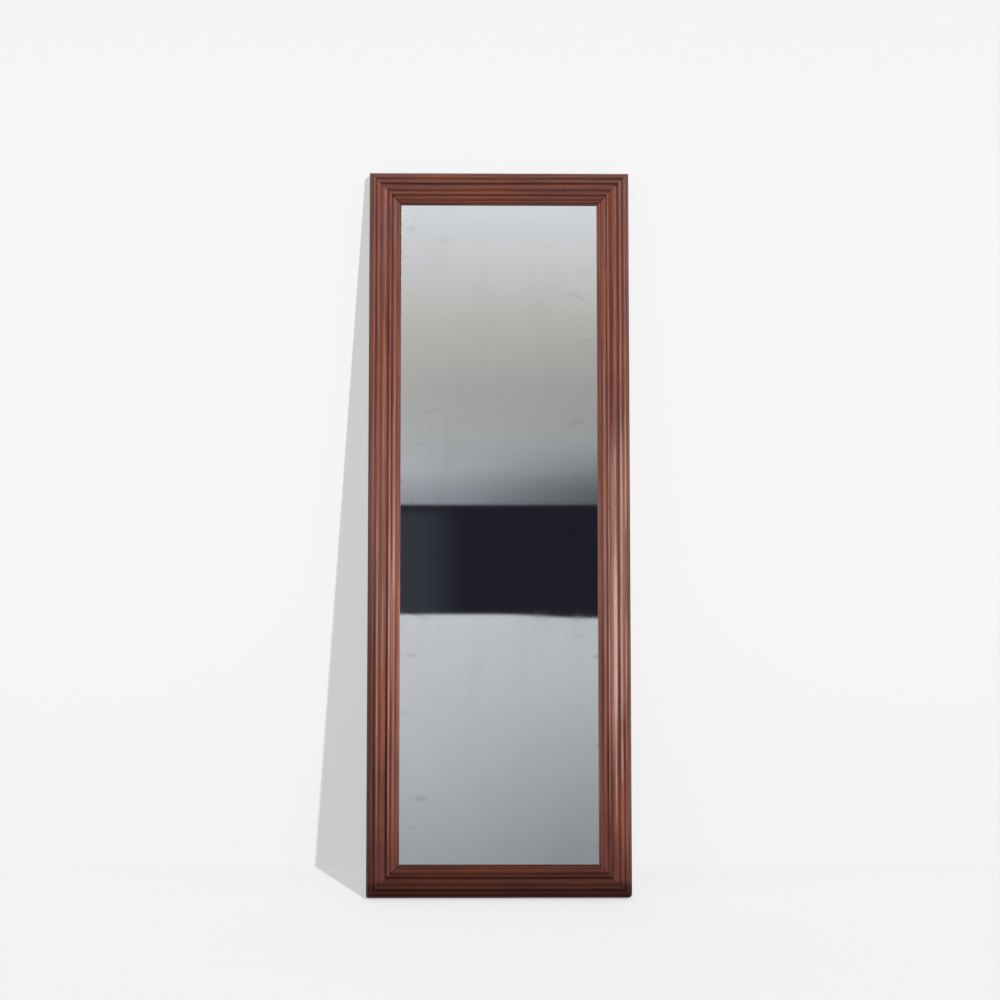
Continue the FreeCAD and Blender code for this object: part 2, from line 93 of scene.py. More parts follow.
class Wiring:
    """Short calls that add nodes to a tree and join them."""

    def __init__(self, tree: NodeTree) -> None:
        """Keeps the tree that the nodes go in."""
        self.tree = tree

    def add(self, kind: str, inputs: Inputs | None = None, **settings: object) -> Node:
        """Adds a node.

        Args:
            kind: the node's type name.
            inputs: for each input, a value for it or the output that feeds it.
            settings: the node's own properties.

        Returns:
            The new node.
        """
        made = self.tree.nodes.new(kind)
        for name, value in settings.items():
            setattr(made, name, value)
        for key, value in (inputs or {}).items():
            if isinstance(value, NodeSocket):
                self.tree.links.new(value, made.inputs[key])
            else:
                made.inputs[key].default_value = value
        return made

    def named(self, node: Node) -> Outputs:
        """A node's outputs by name."""
        return {output.name: output for output in node.outputs}

    def place(self, pattern: "Pattern", inputs: Inputs) -> Outputs:
        """Adds a shared pattern's group with its inputs and returns its outputs by name."""
        return self.named(self.add("ShaderNodeGroup", inputs, node_tree=pattern.tree()))

    def apart(self, vector: NodeSocket) -> Outputs:
        """Splits a vector and returns its X, Y and Z by name."""
        return self.named(self.add("ShaderNodeSeparateXYZ", {0: vector}))

    def maths(self, operation: str, *values: object) -> NodeSocket:
        """Adds a Math node on one to three values and returns its result."""
        return self.add("ShaderNodeMath", dict(enumerate(values)), operation=operation).outputs[0]

    def times(self, *values: object) -> NodeSocket:
        """Multiplies two or more values, the first two first."""
        return reduce(lambda first, second: self.maths("MULTIPLY", first, second), values)

    def most(self, *values: object) -> NodeSocket:
        """Finds the greatest of two or more values."""
        return reduce(lambda first, second: self.maths("MAXIMUM", first, second), values)

    def mix(self, share: object, first: object, second: object) -> NodeSocket:
        """Adds a colour mix from first to second and returns its result."""
        made = self.add("ShaderNodeMix", {0: share, 6: first, 7: second}, data_type="RGBA")
        return made.outputs[2]

    def ramp(self, value: NodeSocket, steps: list[tuple[float, Colour]]) -> NodeSocket:
        """Adds a ramp of colours.

        Args:
            value: what runs along the ramp, from 0 to 1.
            steps: each place and its colour.

        Returns:
            The colour.
        """
        made = self.add("ShaderNodeValToRGB", {"Fac": value})
        elements = made.color_ramp.elements
        while len(elements) < len(steps):
            elements.new(0.5)
        for element, (place, colour) in zip(elements, steps):
            element.position, element.color = place, colour
        return made.outputs[0]

    def spread(
        self, value: object, low: float, high: float, start: float = 0.0, end: float = 1.0
    ) -> NodeSocket:
        """Maps a value smoothly from one range to another, held at both ends.

        Args:
            value: the value, or the output that gives it.
            low, high: the range it comes from.
            start, end: what it becomes at low and at high.

        Returns:
            The mapped value.
        """
        inputs = {"Value": value, "From Min": low, "From Max": high, "To Min": start, "To Max": end}
        return self.add("ShaderNodeMapRange", inputs, interpolation_type="SMOOTHSTEP").outputs[0]

    def scale(self, vector: NodeSocket, factor: NodeSocket) -> NodeSocket:
        """Multiplies a vector by one number and returns the result."""
        return self.add("ShaderNodeVectorMath", {0: vector, "Scale": factor}, operation="SCALE").outputs[0]

    def stretch(self, vector: NodeSocket, factors: Triple, offset: Triple = (0, 0, 0)) -> NodeSocket:
        """Multiplies a vector axis by axis, adds an offset and returns the result."""
        inputs = {0: vector, 1: factors, 2: offset}
        return self.add("ShaderNodeVectorMath", inputs, operation="MULTIPLY_ADD").outputs[0]

    def noise(
        self, vector: NodeSocket, scale: float, detail: float = 3.0, roughness: float = 0.55
    ) -> NodeSocket:
        """Adds a noise texture and returns its grey value."""
        inputs = {"Vector": vector, "Scale": scale, "Detail": detail, "Roughness": roughness}
        return self.add("ShaderNodeTexNoise", inputs).outputs[0]

    def drawn(
        self,
        vector: NodeSocket,
        factors: Triple,
        offset: Triple = (0, 0, 0),
        detail: float = 3.0,
        roughness: float = 0.55,
    ) -> NodeSocket:
        """Adds noise that is drawn out, the more the smaller an axis's factor is.

        Args:
            vector: the coordinates.
            factors: the noise's fineness along each axis.
            offset: a shift that makes it differ from other noise.
            detail, roughness: how much small noise is laid over it, and how strong that is.

        Returns:
            The grey value.
        """
        return self.noise(self.stretch(vector, factors, offset), 1.0, detail, roughness)


class Pattern:
    """A node group that several finishes share, built the first time it is placed."""

    name = ""
    inputs: dict[str, str] = {}
    outputs: tuple[str, ...] = ()

    def tree(self) -> NodeTree:
        """Finds or builds the group.

        Returns:
            The group's node tree.
        """
        made = bpy.data.node_groups.get(self.name)
        if made is None:
            made = bpy.data.node_groups.new(self.name, "ShaderNodeTree")
            for label, kind in self.inputs.items():
                made.interface.new_socket(name=label, in_out="INPUT", socket_type=kind)
            for label in self.outputs:
                made.interface.new_socket(name=label, in_out="OUTPUT", socket_type="NodeSocketFloat")
            wires = Wiring(made)
            given = wires.named(wires.add("NodeGroupInput"))
            wires.add("NodeGroupOutput", self.fill(wires, given))
        return made

    def fill(self, wires: Wiring, given: Outputs) -> Inputs:
        """Builds the group's nodes and returns what feeds each output."""
        raise NotImplementedError


class WoodFigure(Pattern):
    """Wood's streaks, warm bands, pores and slow changes of tone; the grain runs along X."""

    name = "wood figure"
    inputs = {"Vector": "NodeSocketVector", "Fineness": "NodeSocketFloat"}
    outputs = ("Streaks", "Warmth", "Pores", "Tone")

    def fill(self, wires: Wiring, given: Outputs) -> Inputs:
        """Layers noises drawn out along the grain.

        Args:
            wires: where the nodes go.
            given: the group's inputs.

        Returns:
            What feeds each output.
        """
        scaled = wires.scale(given["Vector"], given["Fineness"])
        broad = wires.drawn(scaled, (3.6, 190, 190), detail=4.0, roughness=0.6)
        fine = wires.drawn(scaled, (13, 760, 760), (7, 3, 5))
        streaks = wires.maths("ADD", wires.times(broad, 0.66), wires.times(fine, 0.34))
        warmth = wires.drawn(scaled, (3.6, 85, 85), (4, 8, 2))
        pores = wires.drawn(scaled, (85, 2400, 2400), (1, 9, 4), 1.0)
        tone = wires.drawn(scaled, (3.2, 60, 60), (6, 1, 3), 2.0)
        return {
            "Streaks": wires.spread(streaks, 0.34, 0.66),
            "Warmth": wires.spread(warmth, 0.46, 0.68),
            "Pores": wires.spread(pores, 0.62, 0.70),
            "Tone": wires.spread(tone, 0.3, 0.7),
        }


class ShadeAndGrime(Pattern):
    """Dirt and painted shade in the hollows, and the rub and painted highlight that leave the high places
    light.
    """

    name = "grime and rub"
    inputs = {"Vector": "NodeSocketVector", "Sunk": "NodeSocketFloat", "Hollow": "NodeSocketFloat"}
    outputs = ("ShadeAndGrime", "RubAndHighlight", "Worn")

    def fill(self, wires: Wiring, given: Outputs) -> Inputs:
        """Breaks both masks up with noise.

        Args:
            wires: where the nodes go.
            given: the group's inputs.

        Returns:
            What feeds each output.
        """
        ragged = wires.drawn(given["Vector"], (14, 90, 90), detail=4.0, roughness=0.6)
        patchy = wires.drawn(given["Vector"], (2.6, 75, 75), (3, 5, 7))
        broken = wires.drawn(given["Vector"], (3.4, 60, 60), (8, 2, 6), 4.0, 0.6)
        depth = wires.maths("ADD", given["Hollow"], wires.spread(ragged, 0.3, 0.7, -0.15, 0.15))
        top = wires.spread(given["Sunk"], 0.075, 0.0)
        # The hollows' mask is painted shade together with dirt; the high places' mask is wear together with
        # a painted highlight.
        return {
            "ShadeAndGrime": wires.spread(depth, 0.15, 0.65),
            "RubAndHighlight": wires.times(top, wires.spread(patchy, 0.34, 0.62)),
            "Worn": wires.spread(broken, 0.36, 0.58, 0.15, 1.0),
        }


class Speckle(Pattern):
    """A fine speckle, fibres and a slow mottle, for board, felt, foam and rubber."""

    name = "speckle and mottle"
    inputs = {"Vector": "NodeSocketVector", "Fineness": "NodeSocketFloat"}
    outputs = ("Speckle", "Fibres", "Mottle")

    def fill(self, wires: Wiring, given: Outputs) -> Inputs:
        """Makes three sizes of noise, one of them drawn out into fibres.

        Args:
            wires: where the nodes go.
            given: the group's inputs.

        Returns:
            What feeds each output.
        """
        scaled = wires.scale(given["Vector"], given["Fineness"])
        drawn = wires.stretch(scaled, (260, 260, 900))
        bent = wires.add("ShaderNodeTexNoise", {"Vector": drawn, "Scale": 1.0, "Distortion": 1.6})
        return {
            "Speckle": wires.spread(wires.noise(scaled, 950.0, 2.0), 0.35, 0.65),
            "Fibres": wires.spread(bent.outputs[0], 0.42, 0.62),
            "Mottle": wires.spread(wires.noise(scaled, 9.0, 5.0, 0.6), 0.32, 0.68),
        }


class Tarnish(Pattern):
    """Dull patches and fine scratches on metal."""

    name = "tarnish"
    inputs = {"Vector": "NodeSocketVector"}
    outputs = ("Patches", "Scratches")

    def fill(self, wires: Wiring, given: Outputs) -> Inputs:
        """Makes patches from noise, and scratches from noise drawn out slantwise.

        Args:
            wires: where the nodes go.
            given: the group's inputs.

        Returns:
            What feeds each output.
        """
        turn = {"Vector": given["Vector"], "Rotation": (0.3, 0.7, 0.2)}
        turned = wires.add("ShaderNodeMapping", turn).outputs[0]
        lines = wires.drawn(turned, (90, 2600, 2600), detail=2.0)
        return {
            "Patches": wires.spread(wires.noise(given["Vector"], 60.0, 6.0, 0.6), 0.35, 0.80),
            "Scratches": wires.spread(lines, 0.6, 0.7),
        }


WOOD_FIGURE, SHADE_AND_GRIME, SPECKLE, TARNISH = WoodFigure(), ShadeAndGrime(), Speckle(), Tarnish()


class Finish:
    """What every finish shares: a material whose nodes read the piece's own coordinates."""

    def make(self, name: str) -> Material:
        """Builds the material.

        Args:
            name: the material's name.

        Returns:
            The material.
        """
        made = bpy.data.materials.new(name)
        made.use_nodes = True
        made.node_tree.nodes.clear()
        wires = Wiring(made.node_tree)
        place = wires.add("ShaderNodeTexCoord").outputs["Object"]
        wires.add("ShaderNodeOutputMaterial", {"Surface": self.shader(wires, place)})
        return made

    def shader(self, wires: Wiring, place: NodeSocket) -> NodeSocket:
        """Adds the main shader with what the finish feeds it."""
        return wires.add("ShaderNodeBsdfPrincipled", self.surface(wires, place)).outputs[0]

    def surface(self, wires: Wiring, place: NodeSocket) -> Inputs:
        """Builds the nodes of the surface and returns what feeds the main shader."""
        raise NotImplementedError

    def relief(
        self, wires: Wiring, height: NodeSocket, distance: float, strength: float = 1.0
    ) -> NodeSocket:
        """Adds a bump of a height in metres and returns its normal."""
        inputs = {"Height": height, "Distance": distance, "Strength": strength}
        return wires.add("ShaderNodeBump", inputs).outputs[0]


class Grain(Enum):
    """Which way a length of wood's grain runs, as the turn that lays it along X."""

    ACROSS_THE_WIDTH = 0.0
    UP_THE_HEIGHT = math.pi / 2


@dataclass(frozen=True)
class Patch:
    """A length of one band of the front, painted paler or darker.

    It lies between two distances from the frame's middle, comes in over the heights of its rise
    and ends over those of its fall. Its share is how strong it is: above zero for a painted
    highlight, with some wear, where light falls on the beads; below zero for painted shade,
    with some dirt.
    """

    across: Point
    rise: Point
    fall: Point
    share: float
    soft: float = 0.0012
    front: Point = (0.003, 0.0)

    def mask(self, wires: Wiring, parts: Outputs) -> NodeSocket:
        """Works out how strong the patch is at each point.

        Args:
            wires: where the nodes go.
            parts: the piece's coordinates, apart.

        Returns:
            The mask.
        """
        from_middle = wires.maths("ABSOLUTE", parts["X"])
        inner, outer = self.across
        return wires.times(
            wires.spread(parts["Z"], *self.rise, 0.0, abs(self.share)),
            wires.spread(parts["Z"], *reversed(self.fall)),
            wires.spread(parts["Y"], *self.front),
            wires.spread(from_middle, inner - self.soft, inner),
            wires.spread(from_middle, outer + self.soft, outer),
        )


@dataclass(frozen=True)
class WearAndShade:
    """How one side of the frame has aged, and the shade and highlights painted on it.

    The first share darkens the whole side evenly. Foot and edge are the shares of painted shade at
    the floor and along the outer edge, and hollow the share of dirt and painted shade in the hollows.
    The painted shade underneath reaches up to the height of the sole. Rub is how strongly the beads
    are paled, by wear together with a painted highlight, gloss is the shine that is left, corners is
    how far the first and the last corner are rounded, in millimetres, and patches are the lengths of
    painted highlight and painted shade that stand out.
    """

    even_darkening: float
    foot: float
    sole: float
    edge: float
    hollow: float
    rub: float
    gloss: float
    corners: Point
    patches: tuple[Patch, ...] = ()


@dataclass(frozen=True)
class StainedWood(Finish):
    """Close-grained wood, stained and waxed, with dirt and painted shade in its hollows, wear and painted
    highlights on its beads, and raw behind.

    Each pair is where an effect begins and where it is full: heights, but depths for the back
    and the cover, and distances from the frame's middle for the edge.
    """

    grain: Grain
    offset: Triple
    wear: WearAndShade
    dark: Colour = screen(97, 54, 46)
    mid: Colour = screen(140, 88, 76)
    warm: Colour = screen(166, 91, 50)
    ruddy: Colour = screen(150, 75, 68)
    # Pale colours for wear together with painted highlights: on the beads, along the crest lines and in the
    # pale patches.
    rubbed_and_highlight: Colour = screen(198, 148, 132)
    bare_and_highlight: Colour = screen(212, 162, 146)
    paled_and_highlight: Colour = screen(228, 186, 176)
    raw: Colour = screen(158, 116, 84)
    # A dark colour for dirt and painted shade, and for the pores.
    dirt_and_shade: Colour = screen(44, 8, 3)
    rub_above: Point = (0.05, 0.35)
    rub_below: Point = (1.5, 0.9)
    hands_above: Point = (0.52, 0.78)
    hands_below: Point = (1.24, 0.98)
    hands: float = 0.13
    # Heights over which the dirt and painted shade in the hollows grow stronger towards the floor.
    hollow_darkening: Point = (1.4, 0.3)
    back: Point = (0.0165, 0.0185)
    # Where shade is painted: towards the floor, on the downward band under the sole and along the outer
    # edge.
    foot: Point = (0.25, 0.0)
    sole: float = 0.0235
    edge: Point = (0.3020, 0.3045)
    edge_below: Point = (1.1, 0.45)
    cover: Point = (0.018, 0.004)

    def surface(self, wires: Wiring, place: NodeSocket) -> Inputs:
        """Lays wear and painted highlights, raw wood, pores, and dirt and painted shade over the stain.

        Args:
            wires: where the nodes go.
            place: the piece's coordinates.

        Returns:
            What feeds the main shader.
        """
        turn = {"Vector": place, "Location": self.offset, "Rotation": (0.0, self.grain.value, 0.0)}
        turned = wires.add("ShaderNodeMapping", turn).outputs[0]
        figure = wires.place(WOOD_FIGURE, {"Vector": turned, "Fineness": 1.0})
        sunk, hollow = self.mark(wires, "sunk"), self.mark(wires, "hollow")
        marks = wires.place(SHADE_AND_GRIME, {"Vector": turned, "Sunk": sunk, "Hollow": hollow})
        parts = wires.apart(place)
        behind = wires.spread(parts["Y"], *self.back)
        unstained = wires.times(behind, wires.spread(marks["Worn"], 0.0, 1.0, 0.55, 0.85))

        colour = self.worn(wires, self.stained(wires, figure), marks, parts)
        colour = wires.mix(unstained, colour, self.raw)
        colour = wires.mix(wires.times(figure["Pores"], 0.4), colour, self.dirt_and_shade)
        # Darkens the wood: dirt and painted shade in the hollows, painted shade at the foot, under the sole
        # and along the outer edge, and an even share all over.
        dirt_and_shade_share = wires.most(self.hollow_shade_and_dirt(wires, marks, parts), self.darkening_and_painted_shade(wires, parts))
        colour = wires.mix(dirt_and_shade_share, colour, self.dirt_and_shade)

        roughness = wires.spread(figure["Streaks"], 0.0, 1.0, 0.46, 0.36)
        duller = wires.most(wires.times(marks["ShadeAndGrime"], 0.25), wires.times(behind, 0.35))
        grooves = wires.maths("SUBTRACT", figure["Streaks"], wires.times(figure["Pores"], 0.8))
        return {
            "Base Color": colour,
            "Roughness": wires.maths("ADD", roughness, duller),
            "Normal": self.relief(wires, grooves, 0.00025, 0.6),
            "Specular IOR Level": self.wear.gloss,
            "Coat Weight": self.wear.gloss / 5,
            "Coat Roughness": 0.28,
        }

    def mark(self, wires: Wiring, name: str) -> NodeSocket:
        """Reads one of the marks that the moulding carries."""
        return wires.add("ShaderNodeAttribute", attribute_name=name).outputs["Fac"]

    def stained(self, wires: Wiring, figure: Outputs) -> NodeSocket:
        """Stains the wood darker and lighter along its streaks, ruddy and warm in bands.

        Args:
            wires: where the nodes go.
            figure: the wood's figure.

        Returns:
            The colour.
        """
        colour = wires.mix(figure["Streaks"], self.dark, self.mid)
        colour = wires.mix(wires.times(figure["Tone"], 0.45), colour, self.ruddy)
        return wires.mix(wires.times(figure["Warmth"], 0.6), colour, self.warm)

    def worn(self, wires: Wiring, colour: NodeSocket, marks: Outputs, parts: Outputs) -> NodeSocket:
        """Pales the beads and their crests, by wear together with a painted highlight, and what hands hold,
        and lays the patches of painted highlight and painted shade over them.

        Args:
            wires: where the nodes go.
            colour: the stained colour.
            marks: the masks of dirt and rub.
            parts: the piece's coordinates, apart.

        Returns:
            The colour.
        """
        height = parts["Z"]
        reach = wires.times(
            wires.spread(height, *self.rub_above), wires.spread(height, *self.rub_below, 0.3, 1.0)
        )
        # The beads are paled by wear together with a painted highlight, strongest on the right stile, which
        # faces the light.
        rub = wires.times(marks["RubAndHighlight"], self.wear.rub, reach)
        handled = wires.times(
            wires.spread(height, *self.hands_below),
            wires.spread(height, *self.hands_above, 0.0, self.hands),
        )
        # The crest lines are bare wood together with a painted highlight.
        line = wires.times(marks["Worn"], 0.9, self.mark(wires, "crest"), reach)
        colour = wires.mix(wires.most(rub, handled), colour, self.rubbed_and_highlight)
        colour = wires.mix(line, colour, self.bare_and_highlight)
        uneven = wires.spread(marks["Worn"], 0.15, 1.0, 0.7, 1.0)
        # Pale patches are painted highlight with some wear, and dark ones painted shade with some dirt.
        for patch in self.wear.patches:
            share = wires.times(patch.mask(wires, parts), uneven)
            colour = wires.mix(share, colour, self.paled_and_highlight if patch.share > 0 else self.dirt_and_shade)
        return colour

    def hollow_shade_and_dirt(self, wires: Wiring, marks: Outputs, parts: Outputs) -> NodeSocket:
        """How much dirt and painted shade darken the wood in its hollows, less so higher up, and how much
        dirt darkens its joints.

        Args:
            wires: where the nodes go.
            marks: the masks of dirt and rub.
            parts: the piece's coordinates, apart.

        Returns:
            The share of dirt and painted shade.
        """
        hollow = self.wear.hollow
        hollow_darkening = wires.spread(parts["Z"], *self.hollow_darkening, 0.2 * hollow, hollow)
        return wires.most(
            wires.times(marks["ShadeAndGrime"], hollow_darkening), wires.times(self.mark(wires, "joint"), 0.75)
        )

    def darkening_and_painted_shade(self, wires: Wiring, parts: Outputs) -> NodeSocket:
        """How much the wood is darkened: evenly all over, and by painted shade at its foot, under its sole
        and along its outer edge.

        Args:
            wires: where the nodes go.
            parts: the piece's coordinates, apart.

        Returns:
            The share of even darkening and painted shade.
        """
        wear, height = self.wear, parts["Z"]
        # Painted shade towards the floor, on the sole's downward band and along the outer edge, over an
        # even darkening of the whole side.
        foot = wires.spread(height, *self.foot, wear.even_darkening, wear.foot)
        sole = wires.spread(height, wear.sole, self.sole, 0.0, 0.93)
        edge = wires.times(
            wires.spread(wires.maths("ABSOLUTE", parts["X"]), *self.edge),
            wires.spread(height, *self.edge_below, 0.2 * wear.edge, wear.edge),
        )
        return wires.times(
            wires.most(foot, sole, edge), wires.spread(parts["Y"], *self.cover, 0.25, 1.0)
        )


@dataclass(frozen=True)
class SilveredGlass(Finish):
    """An old looking-glass: a metal reflection under a thin haze, with smears, specks and faint spots."""

    silver: Colour = (0.86, 0.87, 0.88, 1.0)
    hazed: Colour = (0.80, 0.80, 0.79, 1.0)
    foxed: Colour = screen(150, 146, 136)
    spotted: Point = (0.10, 0.235)

    def surface(self, wires: Wiring, place: NodeSocket) -> Inputs:
        """Lays smears, specks and spots of old silvering over the silver.

        Args:
            wires: where the nodes go.
            place: the piece's coordinates.

        Returns:
            What feeds the main shader.
        """
        tall = wires.stretch(place, (1.0, 1.0, 0.35))
        smears = wires.spread(wires.noise(tall, 11.0, 4.0, 0.6), 0.45, 0.75)
        specks = wires.spread(wires.noise(place, 210.0, 2.0, 0.5), 0.70, 0.76)
        veil = wires.most(wires.times(smears, 0.6), specks)
        across = wires.maths("ABSOLUTE", wires.apart(place)["X"])
        spots = wires.spread(wires.drawn(place, (13, 1, 28), (5, 0, 2), 1.0, 0.4), 0.62, 0.82)
        spots = wires.times(spots, wires.spread(across, *self.spotted, 0.03, 0.34))
        return {
            "Base Color": wires.mix(spots, wires.mix(veil, self.silver, self.hazed), self.foxed),
            "Metallic": 1.0,
            "Roughness": wires.spread(veil, 0.0, 1.0, 0.012, 0.026),
        }


@dataclass(frozen=True)
class Hardboard(Finish):
    """Brown pressed board, speckled with fibres, dark round its rim and where damp has risen.

    Each pair is where an effect begins and where it is full: heights, and distances from the
    middle of the board for the rim.
    """

    face: Colour = screen(192, 150, 108)
    fibre: Colour = screen(130, 92, 60)
    stain: Colour = screen(98, 66, 42)
    scuffed: Colour = screen(206, 174, 136)
    damp: Point = (0.32, 0.08)
    tide_above: Point = (0.350, 0.33)
    tide_below: Point = (0.27, 0.32)
    rim_across: Point = (0.255, 0.31)
    rim_up: Point = (0.81, 0.90)

    def surface(self, wires: Wiring, place: NodeSocket) -> Inputs:
        """Lays fibres, mottle, damp, rim and scuffs over the board's face.

        Args:
            wires: where the nodes go.
            place: the piece's coordinates.

        Returns:
            What feeds the main shader.
        """
        marks = wires.place(SPECKLE, {"Vector": place, "Fineness": 0.8})
        parts = wires.apart(place)
        ragged = wires.drawn(place, (7, 7, 7), (1, 4, 2), 5.0, 0.6)
        ragged = wires.spread(ragged, 0.3, 0.7, -0.05, 0.05)
        level = wires.maths("ADD", parts["Z"], ragged)
        tide = wires.times(wires.spread(level, *self.tide_above), wires.spread(level, *self.tide_below))
        wet = wires.most(wires.spread(level, *self.damp), tide)
        across = wires.maths("ADD", wires.maths("ABSOLUTE", parts["X"]), ragged)
        up = wires.maths("ABSOLUTE", wires.maths("SUBTRACT", level, HEIGHT / 2 * MM))
        rim = wires.most(wires.spread(across, *self.rim_across), wires.spread(up, *self.rim_up))
        scuffs = wires.spread(wires.drawn(place, (34, 1, 5), (2, 0, 1), 5.0, 0.7), 0.63, 0.70)

        colour = wires.mix(wires.times(marks["Fibres"], 0.55), self.face, self.fibre)
        colour = wires.mix(wires.times(marks["Speckle"], 0.4), colour, self.fibre)
        colour = wires.mix(wires.times(marks["Mottle"], 0.25), colour, self.stain)
        colour = wires.mix(wires.times(wet, 0.33), colour, self.stain)
        colour = wires.mix(wires.times(rim, 0.35), colour, self.stain)
        colour = wires.mix(wires.times(scuffs, 0.45), colour, self.scuffed)
        rise = wires.maths("ADD", marks["Speckle"], marks["Fibres"])
        return {
            "Base Color": colour,
            "Roughness": wires.spread(marks["Mottle"], 0.0, 1.0, 0.62, 0.82),
            "Normal": self.relief(wires, rise, 0.00012, 0.7),
        }


@dataclass(frozen=True)
class Felt(Finish):
    """Pressed felt with loose fibres and dust."""

    wool: Colour
    fluff: Colour

    def surface(self, wires: Wiring, place: NodeSocket) -> Inputs:
        """Lays loose fibres over the wool.

        Args:
            wires: where the nodes go.
            place: the piece's coordinates.

        Returns:
            What feeds the main shader.
        """
        marks = wires.place(SPECKLE, {"Vector": place, "Fineness": 1.5})
        colour = wires.mix(marks["Fibres"], self.wool, self.fluff)
        rise = wires.maths("ADD", marks["Fibres"], marks["Speckle"])
        return {
            "Base Color": wires.mix(wires.times(marks["Mottle"], 0.35), colour, self.wool),
            "Roughness": 0.95,
            "Sheen Weight": 0.35,
            "Sheen Roughness": 0.5,
            "Normal": self.relief(wires, rise, 0.0004),
        }


@dataclass(frozen=True)
class Steel(Finish):
    """Plated steel that has dulled in patches."""

    bright: Colour
    dull: Colour
    shine: float
    duller: float = 0.28

    def surface(self, wires: Wiring, place: NodeSocket) -> Inputs:
        """Lays dull patches and scratches over the bright metal.

        Args:
            wires: where the nodes go.
            place: the piece's coordinates.

        Returns:
            What feeds the main shader.
        """
        marks = wires.place(TARNISH, {"Vector": place})
        worn = wires.most(marks["Patches"], wires.times(marks["Scratches"], 0.4))
        return {
            "Base Color": wires.mix(wires.times(worn, 0.8), self.bright, self.dull),
            "Metallic": 1.0,
            "Roughness": wires.spread(worn, 0.0, 1.0, self.shine, self.shine + self.duller),
            "Normal": self.relief(wires, worn, 0.00008, 0.5),
        }


@dataclass(frozen=True)
class Moulded(Finish):
    """A soft plain stuff, foam or rubber, with a fine surface."""

    body: Colour
    bloom: Colour
    roughness: float
    fineness: float
    duller: float = 0.08

    def surface(self, wires: Wiring, place: NodeSocket) -> Inputs:
        """Lays speckle and mottle over the body.

        Args:
            wires: where the nodes go.
            place: the piece's coordinates.

        Returns:
            What feeds the main shader.
        """
        marks = wires.place(SPECKLE, {"Vector": place, "Fineness": self.fineness})
        speckle, rough = marks["Speckle"], self.roughness
        bloom = wires.most(wires.times(marks["Mottle"], 0.5), speckle)
        return {
            "Base Color": wires.mix(bloom, self.body, self.bloom),
            "Roughness": wires.spread(speckle, 0.0, 1.0, rough, rough + self.duller),
            "Normal": self.relief(wires, speckle, 0.0001, 0.5),
        }


@dataclass(frozen=True)
class Beech(Finish):
    """The pale pressed wood of the biscuits."""

    pale: Colour = screen(206, 172, 128)
    fleck: Colour = screen(164, 124, 84)

    def surface(self, wires: Wiring, place: NodeSocket) -> Inputs:
        """Lays flecks over the pale wood.

        Args:
            wires: where the nodes go.
            place: the piece's coordinates.

        Returns:
            What feeds the main shader.
        """
        figure = wires.place(WOOD_FIGURE, {"Vector": place, "Fineness": 2.0})
        flecks = wires.most(wires.times(figure["Streaks"], 0.5), figure["Pores"])
        return {
            "Base Color": wires.mix(flecks, self.pale, self.fleck),
            "Roughness": wires.spread(figure["Streaks"], 0.0, 1.0, 0.55, 0.7),
            "Normal": self.relief(wires, figure["Streaks"], 0.0001, 0.5),
        }


@dataclass(frozen=True)
class Backdrop(Finish):
    """The studio's floor or wall, which takes shadows and sends no light back.

    It shows only from its front. It glows by an even amount and, where it has a rise, a little
    more over the heights from lift to fall.
    """

    paint: Colour
    glow: float
    rise: float = 0.0
    lift: Point = (0.0, 0.9)
    fall: Point = (1.3, 3.0)

    def shader(self, wires: Wiring, place: NodeSocket) -> NodeSocket:
        """Adds paint and glow that only the camera sees, and only from the front.

        Args:
            wires: where the nodes go.
            place: the surface's coordinates.

        Returns:
            The shader.
        """
        height = wires.apart(place)["Z"]
        lift = wires.spread(height, *self.lift, 0.0, self.rise)
        fall = wires.spread(height, *self.fall, 0.0, self.rise)
        glow = wires.maths("ADD", wires.maths("SUBTRACT", lift, fall), self.glow)
        painted = wires.add("ShaderNodeBsdfDiffuse", {"Color": self.paint}).outputs[0]
        lit = wires.add("ShaderNodeEmission", {"Strength": glow}).outputs[0]
        both = wires.add("ShaderNodeAddShader", {0: painted, 1: lit}).outputs[0]
        seen = wires.add("ShaderNodeLightPath").outputs["Is Camera Ray"]
        behind = wires.add("ShaderNodeNewGeometry").outputs["Backfacing"]
        shown = wires.times(seen, wires.maths("SUBTRACT", 1.0, behind))
        clear = wires.add("ShaderNodeBsdfTransparent").outputs[0]
        return wires.add("ShaderNodeMixShader", {0: shown, 1: clear, 2: both}).outputs[0]


def finish_piece(name: str, bm: BMesh, sharp: float = 32.0) -> Object:
    """Turns a mesh under construction into an object, smooth but for its sharp edges.

    Args:
        name: the piece's name.
        bm: its mesh, which is used up.
        sharp: the angle in degrees above which an edge stays sharp.

    Returns:
        The object, linked to the scene.
    """
    for face in bm.faces:
        face.smooth = True
    for edge in bm.edges:
        edge.smooth = len(edge.link_faces) == 2 and edge.calc_face_angle(math.pi) < math.radians(sharp)
    mesh = bpy.data.meshes.new(name)
    bm.to_mesh(mesh)
    bm.free()
    piece = bpy.data.objects.new(name, mesh)
    bpy.context.scene.collection.objects.link(piece)
    return piece


def dress(piece: Object, material: Material) -> None:
    """Gives a piece one material."""
    piece.data.materials.clear()
    piece.data.materials.append(material)


def dress_nodes(names: list[str], material: Material) -> None:
    """Gives carried-over nodes one material and reports them."""
    for name in names:
        dress(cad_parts[name], material)
    log.info("dressed %s with %s", ", ".join(names), material.name)


@dataclass(frozen=True)
class Side:
    """One side of the frame: where a length that is drawn along the bottom edge goes."""

    name: str
    turn: float
    place: Triple
    length: float
    timber: str
    grain: Grain
    wear: WearAndShade

    def matrix(self) -> Matrix:
        """The move from the bottom edge's drawing to this side."""
        turn = Matrix.Rotation(math.radians(self.turn), 4, "Y")
        return Matrix.Translation(Vector(self.place) * MM) @ turn


